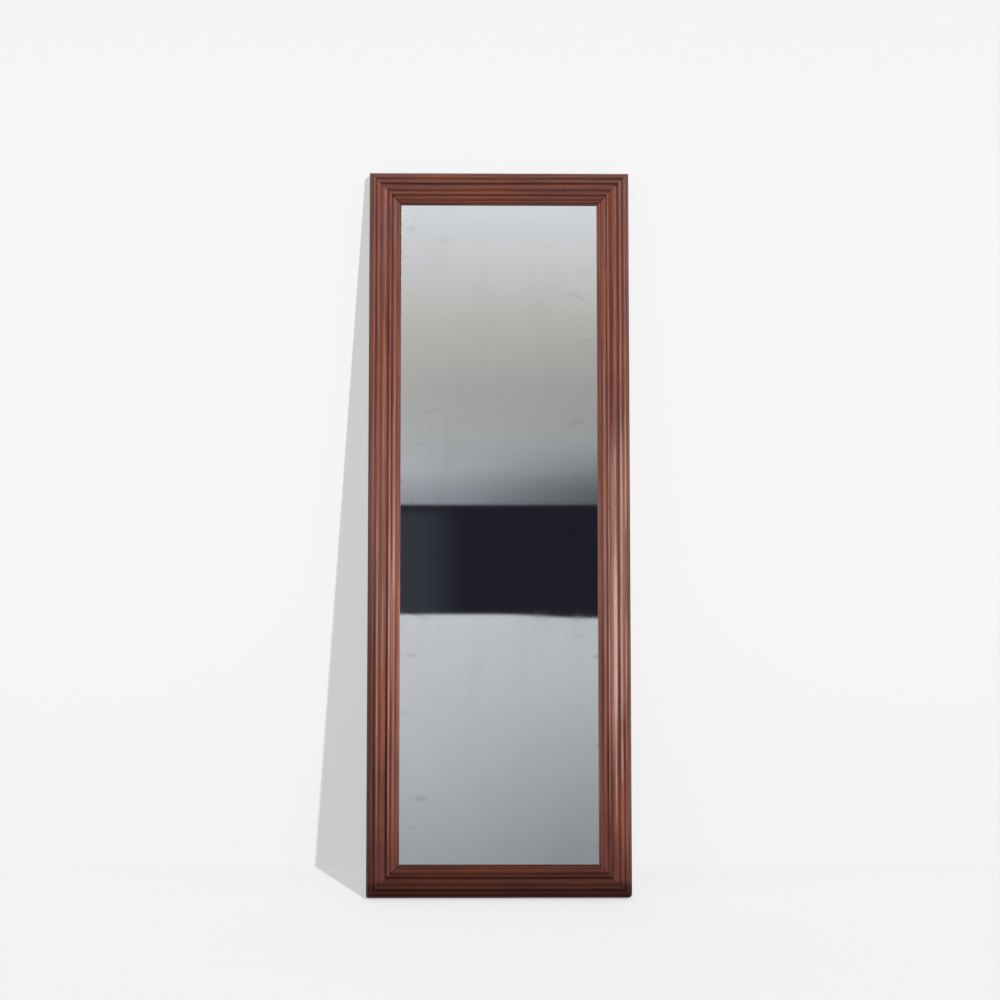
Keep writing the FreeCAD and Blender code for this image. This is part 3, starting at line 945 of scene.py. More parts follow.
WHOLE_LENGTH = (-0.01, 0.33)
TO_THE_TOP = (1.81, 1.82)
FROM_THE_FLOOR = (-0.02, -0.01)
# Each side's wear with the shade and highlights painted on it: the key light comes from the right and from
# above, so the left stile and the bottom rail get the most painted shade and the right stile the most
# painted highlight.
BOTTOM_WEAR_AND_SHADE = WearAndShade(
    even_darkening=0.08, foot=0.80, sole=0.0265, edge=0.5, hollow=0.9, rub=0.2, gloss=0.12, corners=(6.5, 10.0)
)
TOP_WEAR_AND_SHADE = WearAndShade(
    even_darkening=0.18,
    foot=0.18,
    sole=0.0265,
    edge=0.3,
    hollow=0.6,
    rub=0.5,
    gloss=0.2,
    corners=(0.8, 0.8),
    patches=(
        Patch(WHOLE_LENGTH, (1.7912, 1.7930), TO_THE_TOP, -0.36),
        Patch(WHOLE_LENGTH, (1.7165, 1.7180), (1.7410, 1.7425), -0.28),
    ),
)
LEFT_WEAR_AND_SHADE = WearAndShade(
    even_darkening=0.0,
    foot=0.5,
    sole=0.065,
    edge=0.6,
    hollow=0.95,
    rub=0.8,
    gloss=0.2,
    corners=(0.8, 6.5),
    patches=(
        Patch((0.3220, 0.33), (0.01, 0.03), TO_THE_TOP, -0.42),
        Patch((0.3020, 0.33), FROM_THE_FLOOR, (0.05, 0.15), -0.34),
        Patch((0.2690, 0.2730), (0.28, 0.62), (0.82, 1.00), 0.38),
        Patch((0.2640, 0.2675), (0.44, 0.58), (0.74, 0.86), 0.33),
        Patch((0.2585, 0.2625), (0.70, 0.80), (0.93, 1.02), 0.34),
        Patch((0.2990, 0.3030), (0.84, 0.96), (1.22, 1.32), -0.36),
        Patch((0.2740, 0.3100), (0.04, 0.12), (0.26, 0.42), -0.34),
        Patch((0.2585, 0.2680), (0.04, 0.12), (0.20, 0.34), -0.22),
    ),
)
RIGHT_WEAR_AND_SHADE = WearAndShade(
    even_darkening=0.0,
    foot=0.5,
    sole=0.065,
    edge=0.12,
    hollow=0.15,
    rub=2.2,
    gloss=0.2,
    corners=(10.0, 0.8),
    patches=(
        Patch((0.2695, 0.2750), (0.44, 0.58), (0.76, 0.90), 0.14),
        Patch((0.2775, 0.2840), (0.26, 0.46), (1.02, 1.20), 0.43),
        Patch((0.2845, 0.2910), (0.36, 0.54), (0.72, 0.92), 0.90),
        Patch((0.2995, 0.3015), (0.40, 0.50), (0.75, 0.90), 0.42),
        Patch((0.3020, 0.3100), (0.40, 0.50), (1.05, 1.20), 0.30),
        Patch((0.2600, 0.2755), (0.08, 0.16), (0.35, 0.46), -0.42),
        Patch((0.2430, 0.2600), (0.10, 0.20), (1.10, 1.25), -0.30),
    ),
)
LEFT_EDGE = (-WIDTH / 2, 0, HEIGHT / 2)
RIGHT_EDGE = (WIDTH / 2, 0, HEIGHT / 2)
SIDES = (
    Side("bottom", 0, (0, 0, 0), WIDTH, "bottom_rail", Grain.ACROSS_THE_WIDTH, BOTTOM_WEAR_AND_SHADE),
    Side("top", 180, (0, 0, HEIGHT), WIDTH, "top_rail", Grain.ACROSS_THE_WIDTH, TOP_WEAR_AND_SHADE),
    Side("left", 90, LEFT_EDGE, HEIGHT, "left_stile", Grain.UP_THE_HEIGHT, LEFT_WEAR_AND_SHADE),
    Side("right", -90, RIGHT_EDGE, HEIGHT, "right_stile", Grain.UP_THE_HEIGHT, RIGHT_WEAR_AND_SHADE),
)


def section_point(across: float, depth: float, along: float = 0.0) -> Vector:
    """A point of a section that is drawn along the bottom edge, in metres."""
    return Vector((along, depth + FRONT_FACE, across)) * MM


def ease(bm: BMesh, edges: list[BMEdge], width: float, segments: int) -> None:
    """Rounds edges over.

    Args:
        bm: the mesh.
        edges: the edges.
        width: how wide the round is, in millimetres.
        segments: in how many steps.
    """
    bmesh.ops.bevel(
        bm,
        geom=edges,
        offset=width * MM,
        affect="EDGES",
        segments=segments,
        profile=0.5,
        material=-1,
        clamp_overlap=True,
    )


def grain_offset(index: int, step: Triple, start: Triple = (0, 0, 0)) -> Triple:
    """A shift of the wood's figure that differs from piece to piece."""
    return tuple(first + index * part for first, part in zip(start, step))


def arc_turn(start: Vector, through: Vector, end: Vector) -> tuple[Vector, float]:
    """Finds the turn about X that carries a point along an arc.

    Args:
        start, through, end: three points of the arc, in a plane across X.

    Returns:
        The arc's centre and the signed angle.
    """
    first, second = through - start, end - start
    normal = first.cross(second)
    to_centre = second.length_squared * normal.cross(first) + first.length_squared * second.cross(normal)
    centre = start + to_centre / (2 * normal.length_squared)
    before, after = start - centre, end - centre
    turn = math.atan2(after.z, after.y) - math.atan2(before.z, before.y)
    full = 2 * math.pi
    return centre, turn % full if normal.x > 0 else turn % full - full


@dataclass(frozen=True)
class Moulding:
    """A moulding's section: a start and the stretches that lead round it, each a line or an arc.

    Crests and hollows are the places across where it is paled, by wear and a painted highlight, and
    where it is darkened, by dirt and painted shade. Sizes are in millimetres and angles in degrees.
    Waves are counted over a metre.
    """

    start: Point
    front: tuple[Stretch, ...]
    back: tuple[Stretch, ...]
    crests: tuple[float, ...]
    hollows: tuple[float, ...]
    trim: float
    shelter: float = 6.5
    deep: float = 9.0
    plain: float = 0.2
    easing: float = 0.45
    wear: float = 0.45
    station: float = 28.0
    overrun: float = 2.0
    crest_reach: float = 1.5
    hollow_reach: float = 2.6
    arc_step: float = 1.1
    arris_angle: float = 35.0
    least_wear: float = 0.15
    waves_along: float = 7.0
    waves_across: float = 60.0
    mitre_band: float = 1.3
    cut_slack: float = 0.05
    margin: float = 0.5
    corner_cuts: tuple[float, ...] = (45.0, 57.0, 68.0, 79.0)

    def bar(self, length: float, seed: float, worn: tuple[float, float]) -> BMesh:
        """Planes one length of the moulding and mitres its ends.

        Args:
            length: the length along the outer edge of the frame.
            seed: a number that makes this length's wear its own.
            worn: how far each outer corner is rounded, first end then last.

        Returns:
            The mesh, drawn along the bottom edge.
        """
        bm = bmesh.new()
        self.draw_section(bm, length)
        self.plane_length(bm, length)
        self.rub(bm, seed)
        for end, radius in ((-1, worn[0]), (1, worn[1])):
            self.cut_end(bm, length, end, radius)
        self.mark_hollows(bm)
        bmesh.ops.recalc_face_normals(bm, faces=bm.faces)
        return bm

    def draw_section(self, bm: BMesh, length: float) -> None:
        """Draws the section's outline at one end and closes it to a face.

        Args:
            bm: the mesh.
            length: the length that the section is drawn out to.
        """
        along = -length / 2 - self.overrun
        first = here = bm.verts.new(section_point(*self.start, along))
        for stretch in self.front + self.back:
            points = [section_point(*point, along) for point in stretch]
            if len(points) == 1:
                there = bm.verts.new(points[0])
                bm.edges.new((here, there))
            else:
                there = self.swing(bm, here, *points)
            here = there
        bm.edges.new((here, first))
        bmesh.ops.contextual_create(bm, geom=bm.edges[:])

    def swing(self, bm: BMesh, start: BMVert, through: Vector, end: Vector) -> BMVert:
        """Carries a point along an arc.

        Args:
            bm: the mesh.
            start: the vertex that starts the arc.
            through, end: a point on the arc and its end.

        Returns:
            The vertex at the arc's end.
        """
        centre, turn = arc_turn(start.co, through, end)
        steps = max(3, round((end - start.co).length / (self.arc_step * MM)))
        swept = bmesh.ops.spin(
            bm,
            geom=[start],
            cent=centre,
            axis=ALONG,
            dvec=(0, 0, 0),
            angle=turn,
            steps=steps,
            use_duplicate=False,
        )
        last = next(item for item in swept["geom_last"] if isinstance(item, BMVert))
        last.co = end
        return last

    def plane_length(self, bm: BMesh, length: float) -> None:
        """Draws the section out to its length, eases its arrises and divides it into stations.

        Args:
            bm: the mesh.
            length: the length along the frame's outer edge.
        """
        drawn = bmesh.ops.extrude_face_region(bm, geom=bm.faces[:])
        moved = [item for item in drawn["geom"] if isinstance(item, BMVert)]
        bmesh.ops.translate(bm, verts=moved, vec=ALONG * (length + 2 * self.overrun) * MM)
        bmesh.ops.recalc_face_normals(bm, faces=bm.faces)
        least = math.radians(self.arris_angle)
        arrises = [edge for edge in self.long_edges(bm) if edge.calc_face_angle_signed(0) > least]
        ease(bm, arrises, self.easing, 2)
        cuts = round(length / self.station)
        bmesh.ops.subdivide_edges(bm, edges=self.long_edges(bm), cuts=cuts)

    def long_edges(self, bm: BMesh) -> list[BMEdge]:
        """The edges that run along the length."""
        least = self.overrun * MM
        return [edge for edge in bm.edges if abs((edge.verts[0].co - edge.verts[1].co).x) > least]

    def rub(self, bm: BMesh, seed: float) -> None:
        """Wears the front back a little, unevenly along the length.

        Args:
            bm: the mesh.
            seed: a number that makes this length's wear its own.
        """
        back = FRONT_FACE + self.front[-1][-1][1]
        for vertex in bm.verts:
            if vertex.co.y < back * MM:
                along, across = vertex.co.x * self.waves_along, vertex.co.z * self.waves_across
                wave = noise.noise(Vector((along, seed, across)))
                vertex.co.y += self.wear * MM * (self.least_wear + (1 + wave) / 2)

    def cut_end(self, bm: BMesh, length: float, end: int, radius: float) -> None:
        """Saws one end to its mitre and wears its outer corner round.

        Args:
            bm: the mesh.
            length: the length along the frame's outer edge.
            end: -1 for the first end and 1 for the last.
            radius: how far the corner is rounded.
        """
        mitre = Vector((end, 0, 1)).normalized()
        tip = Vector((end * (length / 2 - self.trim), 0, 0)) * MM
        near = tip - mitre * self.mitre_band * MM
        parts = bm.verts[:] + bm.edges[:] + bm.faces[:]
        bmesh.ops.bisect_plane(bm, geom=parts, plane_co=near, plane_no=mitre)
        self.saw(bm, tip, mitre)
        middle = Vector((end * (length / 2 - radius), 0, radius)) * MM
        for angle in self.corner_cuts if radius else ():
            slope = math.radians(angle)
            outward = Vector((end * math.cos(slope), 0, -math.sin(slope)))
            self.saw(bm, middle + outward * radius * MM, outward)
        layer = bm.verts.layers.float.get("joint") or bm.verts.layers.float.new("joint")
        for vertex in bm.verts:
            if abs((vertex.co - tip).dot(mitre)) < self.cut_slack * MM:
                vertex[layer] = 1.0

    def saw(self, bm: BMesh, place: Vector, outward: Vector) -> None:
        """Cuts away what lies beyond a plane and closes the cut.

        Args:
            bm: the mesh.
            place: a point of the plane.
            outward: the plane's normal, towards what falls away.
        """
        parts = bm.verts[:] + bm.edges[:] + bm.faces[:]
        bmesh.ops.bisect_plane(
            bm, geom=parts, dist=WELD, plane_co=place, plane_no=outward, clear_outer=True
        )
        rim = [edge for edge in bm.edges if edge.is_boundary]
        if rim:
            made = bmesh.ops.holes_fill(bm, edges=rim, sides=0)["faces"]
            bmesh.ops.triangulate(bm, faces=made)

    def mark_hollows(self, bm: BMesh) -> None:
        """Marks how deep each point lies below the beads beside it, and how near a crest or a hollow.

        Args:
            bm: the mesh.
        """
        sunk, crest, hollow = (bm.verts.layers.float.new(name) for name in ("sunk", "crest", "hollow"))
        rows = [point for stretch in self.front for point in stretch]
        back = self.front[-1][-1][1] + self.margin
        for vertex in bm.verts:
            across, depth = vertex.co.z / MM, vertex.co.y / MM - FRONT_FACE
            if depth < back:
                near = [level for place, level in rows if abs(place - across) < self.shelter]
                vertex[sunk] = max(0.0, depth - min(near, default=depth)) / self.deep
                vertex[crest] = self.beside(across, self.crests, self.crest_reach)
                vertex[hollow] = self.beside(across, self.hollows, self.hollow_reach)
            else:
                vertex[sunk] = self.plain

    def beside(self, across: float, lines: tuple[float, ...], reach: float) -> float:
        """How near a point lies to the nearest of some lines: 1 on it, 0 beyond its reach."""
        return max([0.0] + [1 - abs(across - line) / reach for line in lines])


def shared_out(
    shares: tuple[Stretch, ...], edge: float, width: float, front: float, relief: float
) -> tuple[Stretch, ...]:
    """Turns shares of a moulding's width and relief into stretches.

    Args:
        shares: the outline, across as a share of the width and depth as a share of the relief.
        edge, width: where the moulding starts across, and how wide it is.
        front, relief: the depth of its highest bead, and how deep it is cut.

    Returns:
        The stretches in millimetres.
    """
    return tuple(
        tuple((edge + across * width, front + depth * relief) for across, depth in stretch)
        for stretch in shares
    )


@dataclass(frozen=True)
class Timbers:
    """The two rails and two stiles, planed with broad bands, quirks and beads."""

    face: float = 57.5
    relief: float = 11.4
    side_land: float = 22.0
    lip_width: float = 9.0
    lip_thickness: float = 5.6
    ledge_width: float = 11.0
    panel_depth: float = 29.0
    seed_step: float = 3.7
    grain_step: Triple = (0.37, 0.11, 0.23)
    front_shares: tuple[Stretch, ...] = (
        ((0.080, 0.395),),
        ((0.198, 0.000), (0.298, 0.160)),
        ((0.306, 0.240),),
        ((0.314, 0.180),),
        ((0.404, 0.040), (0.493, 0.263)),
        ((0.505, 0.600),),
        ((0.523, 0.640), (0.546, 0.590)),
        ((0.561, 0.560),),
        ((0.664, 0.500), (0.771, 0.640)),
        ((0.800, 0.760),),
        ((0.822, 0.870), (0.846, 0.855)),
        ((0.871, 0.640),),
        ((0.921, 0.482), (0.971, 0.632)),
        ((1.000, 0.842),),
    )

    def moulding(self) -> Moulding:
        """Works out the section.

        Returns:
            The moulding of all four timbers.
        """
        seat = self.relief + self.lip_thickness
        rebate = self.face - self.lip_width
        ledge = rebate - self.ledge_width
        return Moulding(
            start=(0, FRAME_DEPTH - self.side_land),
            front=shared_out(self.front_shares, 0, self.face, 0, self.relief),
            back=(
                ((self.face, seat),),
                ((rebate, seat),),
                ((rebate, self.panel_depth),),
                ((ledge, self.panel_depth),),
                ((ledge, FRAME_DEPTH),),
                ((0, FRAME_DEPTH),),
            ),
            crests=(25.0, 53.4),
            hollows=(47.6,),
            trim=0.0,
        )

    def build(self) -> None:
        """Builds the four timbers in place of the frame's own and dresses them."""
        moulding = self.moulding()
        for index, side in enumerate(SIDES):
            bm = moulding.bar(side.length, self.seed_step * index, side.wear.corners)
            bmesh.ops.transform(bm, matrix=side.matrix(), verts=bm.verts)
            piece = finish_piece(side.timber + "_moulding", bm)
            finish = StainedWood(side.grain, grain_offset(index, self.grain_step), side.wear)
            dress(piece, finish.make("stained wood of the " + side.timber.replace("_", " ")))
            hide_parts(side.timber)
            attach(piece, "frame")
            log.info("%s: %d faces", piece.name, len(piece.data.polygons))


@dataclass(frozen=True)
class Slips:
    """The separate inner frame round the glass, whose mitres have opened."""

    edge: float = 58.0
    face: float = 22.0
    set_back: float = 9.0
    relief: float = 7.4
    shoulder: float = 0.9
    sight_lip: float = 4.6
    rebate: float = 13.0
    flange: float = 49.0
    seat: float = 17.0
    panel_depth: float = 29.0
    mitre_gap: float = 0.9
    seed: float = 1.3
    seed_step: float = 2.9
    grain_start: Triple = (0.2, 0.0, 0.4)
    grain_step: Triple = (0.53, 0.17, 0.29)
    # How strongly the slips' beads are paled, and the pale of their crest lines: wear together with a
    # painted highlight.
    rub: float = 0.4
    bare_and_highlight: Colour = screen(220, 160, 136)
    front_shares: tuple[Stretch, ...] = (
        ((0.256, 0.000), (0.553, 0.351)),
        ((0.590, 0.470),),
        ((0.712, 0.392), (0.828, 0.595)),
        ((0.860, 0.865),),
        ((0.902, 0.743),),
        ((0.967, 0.797), (1.000, 1.000)),
    )

    def moulding(self) -> Moulding:
        """Works out the section.

        Returns:
            The moulding of all four slips.
        """
        sight = self.edge + self.face
        glass_rebate = self.set_back + self.relief + self.sight_lip
        return Moulding(
            start=(self.edge, self.set_back + self.shoulder),
            front=shared_out(self.front_shares, self.edge, self.face, self.set_back, self.relief),
            back=(
                ((sight, glass_rebate),),
                ((sight - self.rebate, glass_rebate),),
                ((sight - self.rebate, self.panel_depth),),
                ((self.flange, self.panel_depth),),
                ((self.flange, self.seat),),
                ((self.edge, self.seat),),
            ),
            crests=(64.7, 76.0, 79.3),
            hollows=(),
            trim=self.mitre_gap / math.sqrt(2),
            easing=0.4,
            wear=0.3,
        )

    def build(self) -> None:
        """Builds the four slips in place of the frame's own and dresses them."""
        moulding = self.moulding()
        for index, side in enumerate(SIDES):
            bm = moulding.bar(side.length, self.seed_step * index + self.seed, (0.0, 0.0))
            bmesh.ops.transform(bm, matrix=side.matrix(), verts=bm.verts)
            piece = finish_piece(side.name + "_slip_moulding", bm)
            offset = grain_offset(index, self.grain_step, self.grain_start)
            wear = replace(side.wear, rub=self.rub, edge=0.0)
            finish = StainedWood(side.grain, offset, wear, bare_and_highlight=self.bare_and_highlight)
            dress(piece, finish.make("stained wood of the " + side.name + " slip"))
            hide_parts(side.name + "_slip")
            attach(piece, "frame")
            log.info("%s: %d faces", piece.name, len(piece.data.polygons))


@dataclass(frozen=True)
class WallFelts:
    """The two felt strips on the back, soft-edged and a little uneven."""

    names: tuple[str, str] = ("upper_wall_felt", "lower_wall_felt")
    easing: float = 1.6
    dent: float = 0.5
    cell: float = 6.0
    sharp: float = 50.0
    long_share: float = 0.8
    ripples: float = 90.0
    back_ripples: float = 60.0

    def build(self) -> None:
        """Builds both strips and dresses them."""
        finish = Felt(screen(52, 58, 52), screen(92, 98, 88)).make("wall felt")
        for seed, name in enumerate(self.names):
            piece = finish_piece(name + "_strip", self.strip(name, seed), self.sharp)
            dress(piece, finish)
            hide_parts(name)
            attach(piece, "frame")
            log.info("%s: %d faces", piece.name, len(piece.data.polygons))

    def strip(self, name: str, seed: int) -> BMesh:
        """Shapes one strip inside its node's box.

        Args:
            name: the node.
            seed: a number that makes this strip's dents its own.

        Returns:
            The mesh.
        """
        low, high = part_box(name)
        size = high - low
        bm = bmesh.new()
        bmesh.ops.create_cube(bm, size=1.0)
        bmesh.ops.scale(bm, vec=size, verts=bm.verts)
        ease(bm, bm.edges[:], self.easing, 3)
        long_edges = [edge for edge in bm.edges if edge.calc_length() > size.x * self.long_share]
        bmesh.ops.subdivide_edges(bm, edges=long_edges, cuts=round(size.x / (self.cell * MM)))
        bmesh.ops.translate(bm, vec=(low + high) / 2, verts=bm.verts)
        for vertex in bm.verts:
            wave = noise.noise(vertex.co * self.ripples + Vector((seed * 5, 0, 0)))
            inward = 1 if vertex.co.z < (low.z + high.z) / 2 else -1
            vertex.co.z += inward * self.dent * MM * (1 + wave) / 2
            if vertex.co.y > (low.y + high.y) / 2:
                wave = noise.noise(vertex.co * self.back_ripples)
                vertex.co.y -= self.dent * MM * (1 + wave) / 2
        bmesh.ops.recalc_face_normals(bm, faces=bm.faces)
        return bm


@dataclass(frozen=True)
class HangerRings:
    """The two D-rings, bent round from wire, each hanging from its straight bar."""

    wire: float = 2.5
    half_width: float = 10.9
    corner: float = 3.0
    leg: float = 6.0
    sides: int = 16
    corner_steps: int = 6
    bow_steps: int = 32
    sharp: float = 60.0
    weld: float = 0.01

    def build(self, metal: Material) -> None:
        """Builds both rings in their straps and dresses them.

        Args:
            metal: the hangers' steel.
        """
        for side in ("left", "right"):
            low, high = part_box(side + "_hanger_ring")
            middle = (low + high) / 2
            bm = self.bend()
            bmesh.ops.translate(bm, verts=bm.verts, vec=(middle.x, middle.y, high.z - self.wire / 2 * MM))
            piece = finish_piece(side + "_hanger_ring_wire", bm, self.sharp)
            dress(piece, metal)
            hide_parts(side + "_hanger_ring")
            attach(piece, side + "_ring")
            log.info("%s: %d faces", piece.name, len(piece.data.polygons))

    def bend(self) -> BMesh:
        """Bends one ring, starting and ending at the middle of its bar.

        Returns:
            The mesh, its bar's middle at the origin.
        """
        bm = bmesh.new()
        bmesh.ops.create_circle(
            bm, segments=self.sides, radius=self.wire / 2 * MM, matrix=Matrix.Rotation(math.pi / 2, 4, "Y")
        )
        bar, foot = self.half_width - self.corner, -self.corner - self.leg
        self.draw(bm, (bar, 0, 0))
        self.turn(bm, (bar, 0, -self.corner), 90, self.corner_steps)
        self.draw(bm, (0, 0, -self.leg))
        self.turn(bm, (0, 0, foot), 180, self.bow_steps)
        self.draw(bm, (0, 0, self.leg))
        self.turn(bm, (-bar, 0, -self.corner), 90, self.corner_steps)
        self.draw(bm, (bar, 0, 0))
        bmesh.ops.remove_doubles(bm, verts=bm.verts, dist=self.weld * MM)
        bmesh.ops.recalc_face_normals(bm, faces=bm.faces)
        return bm

    def end(self, bm: BMesh) -> list[BMEdge]:
        """The edges round the wire's newest end."""
        return bm.edges[:] if not bm.faces else [edge for edge in bm.edges if edge.is_boundary and edge.tag]

    def draw(self, bm: BMesh, way: Triple) -> None:
        """Draws the wire out straight.

        Args:
            bm: the mesh.
            way: how far, in millimetres.
        """
        drawn = bmesh.ops.extrude_edge_only(bm, edges=self.end(bm))["geom"]
        moved = [item for item in drawn if isinstance(item, BMVert)]
        bmesh.ops.translate(bm, verts=moved, vec=Vector(way) * MM)
        self.tag(bm, drawn)

    def turn(self, bm: BMesh, centre: Triple, angle: float, steps: int) -> None:
        """Bends the wire round a centre.

        Args:
            bm: the mesh.
            centre: the bend's centre, in millimetres.
            angle: how far it turns, in degrees.
            steps: in how many steps.
        """
        turned = bmesh.ops.spin(
            bm,
            geom=self.end(bm),
            cent=Vector(centre) * MM,
            axis=(0, 1, 0),
            dvec=(0, 0, 0),
            angle=math.radians(angle),
            steps=steps,
            use_duplicate=False,
        )
        self.tag(bm, turned["geom_last"])

    def tag(self, bm: BMesh, newest: list[BMVert | BMEdge | BMFace]) -> None:
        """Tags the edges of the wire's newest end, and no others."""
        for edge in bm.edges:
            edge.tag = False
        for item in newest:
            if isinstance(item, BMEdge):
                item.tag = True


class Glazing:
    """The looking-glass and everything that packs and backs it."""

    def dress(self) -> None:
        """Dresses the glass, its felts, packers and foam, and the backing panel."""
        sides = ("left", "right")
        packers = [f"{level}_{side}_edge_packer" for level in ("upper", "lower") for side in sides]
        blocks = [side + "_setting_block" for side in sides]
        dress_nodes(["mirror_glass"], SilveredGlass().make("silvered glass"))
        dress_nodes(["backing_panel"], Hardboard().make("hardboard"))
        felts = [side.name + "_glazing_felt" for side in SIDES]
        dress_nodes(felts, Felt(screen(26, 25, 25), screen(54, 52, 50)).make("glazing felt"))
        foam = Moulded(screen(206, 206, 200), screen(228, 228, 222), 0.8, 0.6)
        dress_nodes(["foam_sheet"], foam.make("foam"))
        rubber = Moulded(screen(30, 30, 31), screen(58, 58, 57), 0.6, 1.0)
        dress_nodes(packers + blocks, rubber.make("packing rubber"))


class Fastenings:
    """The braces, hangers, screws, pins and biscuits."""

    def dress(self) -> None:
        """Dresses the metal and the biscuits."""
        sides = ("left", "right")
        corners = [f"{level}_{side}" for level in ("bottom", "top") for side in sides]
        braces = [corner + "_corner_brace" for corner in corners]
        straps = [side + "_hanger_strap" for side in sides]
        steel = Steel(screen(192, 191, 187), screen(150, 145, 134), 0.3).make("plated steel")
        dress_nodes(braces + straps, steel)
        HangerRings().build(steel)
        brassy = Steel(screen(214, 178, 106), screen(140, 108, 62), 0.28)
        dress_nodes(["panel_screws", "brace_screws", "hanger_screws"], brassy.make("screw steel"))
        plain_steel = Steel(screen(120, 116, 110), screen(74, 66, 58), 0.42)
        dress_nodes(["slip_pins"], plain_steel.make("pin steel"))
        dress_nodes([corner + "_biscuit" for corner in corners], Beech().make("beech"))


@dataclass(frozen=True)
class Reflections:
    """What shines back at glass and gloss: a pale floor, a grey wall with a dark band, a bright ceiling.

    Tones stand at heights, which are the upward parts of directions, and what is across is their
    parts to the right. Each pair is where an effect begins and where it is full.
    """

    dark: Colour = screen(32, 33, 40)
    pale: Colour = screen(54, 57, 64)
    shade_across: Point = (-0.07, 0.09)
    shade_above: Point = (0.03, 0.07)
    shade_below: Point = (0.02, -0.04)
    shade_top: Point = (0.20, 0.10)
    corner_across: Point = (-0.03, 0.065)
    corner_foot: Point = (0.05, 0.08)
    corner_top: Point = (0.12, 0.092)
    step_across: Point = (0.012, 0.055)
    step_heights: Point = (0.0390, 0.0373)
    band_foot: Point = (-0.0009, 0.0009)
    band_top: Point = (0.0896, 0.0878)
    pale_across: Point = (0.0, -0.025)
    pale_top: Point = (0.0885, 0.083)
    tones: tuple[tuple[float, Colour], ...] = (
        (-0.10, screen(151, 154, 159)),
        (-0.03, screen(191, 194, 198)),
        (0.04, screen(208, 212, 215)),
        (0.09, screen(152, 156, 163)),
        (0.105, screen(183, 186, 190)),
        (0.14, screen(180, 180, 177)),
        (0.17, screen(194, 192, 187)),
        (0.225, screen(226, 229, 233)),
        (0.25, screen(232, 235, 238)),
    )

    def colour(self, wires: Wiring, parts: Outputs) -> NodeSocket:
        """Works out what each direction shows.

        Args:
            wires: where the nodes go.
            parts: the direction's parts.

        Returns:
            The colour.
        """
        height, across = parts["Z"], parts["X"]
        low, reach = self.tones[0][0], self.tones[-1][0] - self.tones[0][0]
        steps = [((level - low) / reach, colour) for level, colour in self.tones]
        wall = wires.ramp(wires.maths("MULTIPLY_ADD", height, 1 / reach, -low / reach), steps)
        wall = wires.mix(self.shade(wires, height, across), wall, grey(0.0))
        wall = wires.mix(self.corner(wires, height, across), wall, grey(0.0))
        foot = wires.spread(across, *self.step_across, *self.step_heights)
        band = wires.times(
            wires.spread(wires.maths("SUBTRACT", height, foot), *self.band_foot),
            wires.spread(height, *self.band_top),
        )
        paler = wires.times(
            wires.spread(across, *self.pale_across), wires.spread(height, *self.pale_top)
        )
        return wires.mix(band, wall, wires.mix(paler, self.dark, self.pale))

    def shade(self, wires: Wiring, height: NodeSocket, across: NodeSocket) -> NodeSocket:
        """How much darker the room is towards the right.

        Args:
            wires: where the nodes go.
            height, across: the direction's upward part and its part to the right.

        Returns:
            The share of shade.
        """
        around = wires.most(
            wires.spread(height, *self.shade_above, 0.5), wires.spread(height, *self.shade_below, 0.5)
        )
        level = wires.times(wires.spread(height, *self.shade_top), around)
        return wires.times(wires.spread(across, *self.shade_across, 0.0, 0.30), level)

    def corner(self, wires: Wiring, height: NodeSocket, across: NodeSocket) -> NodeSocket:
        """How dark it is just above the band, at its right end.

        Args:
            wires: where the nodes go.
            height, across: the direction's upward part and its part to the right.

        Returns:
            The share of shade.
        """
        return wires.times(
            wires.spread(height, *self.corner_foot),
            wires.spread(height, *self.corner_top, 0.0, 0.5),
            wires.spread(across, *self.corner_across),
        )


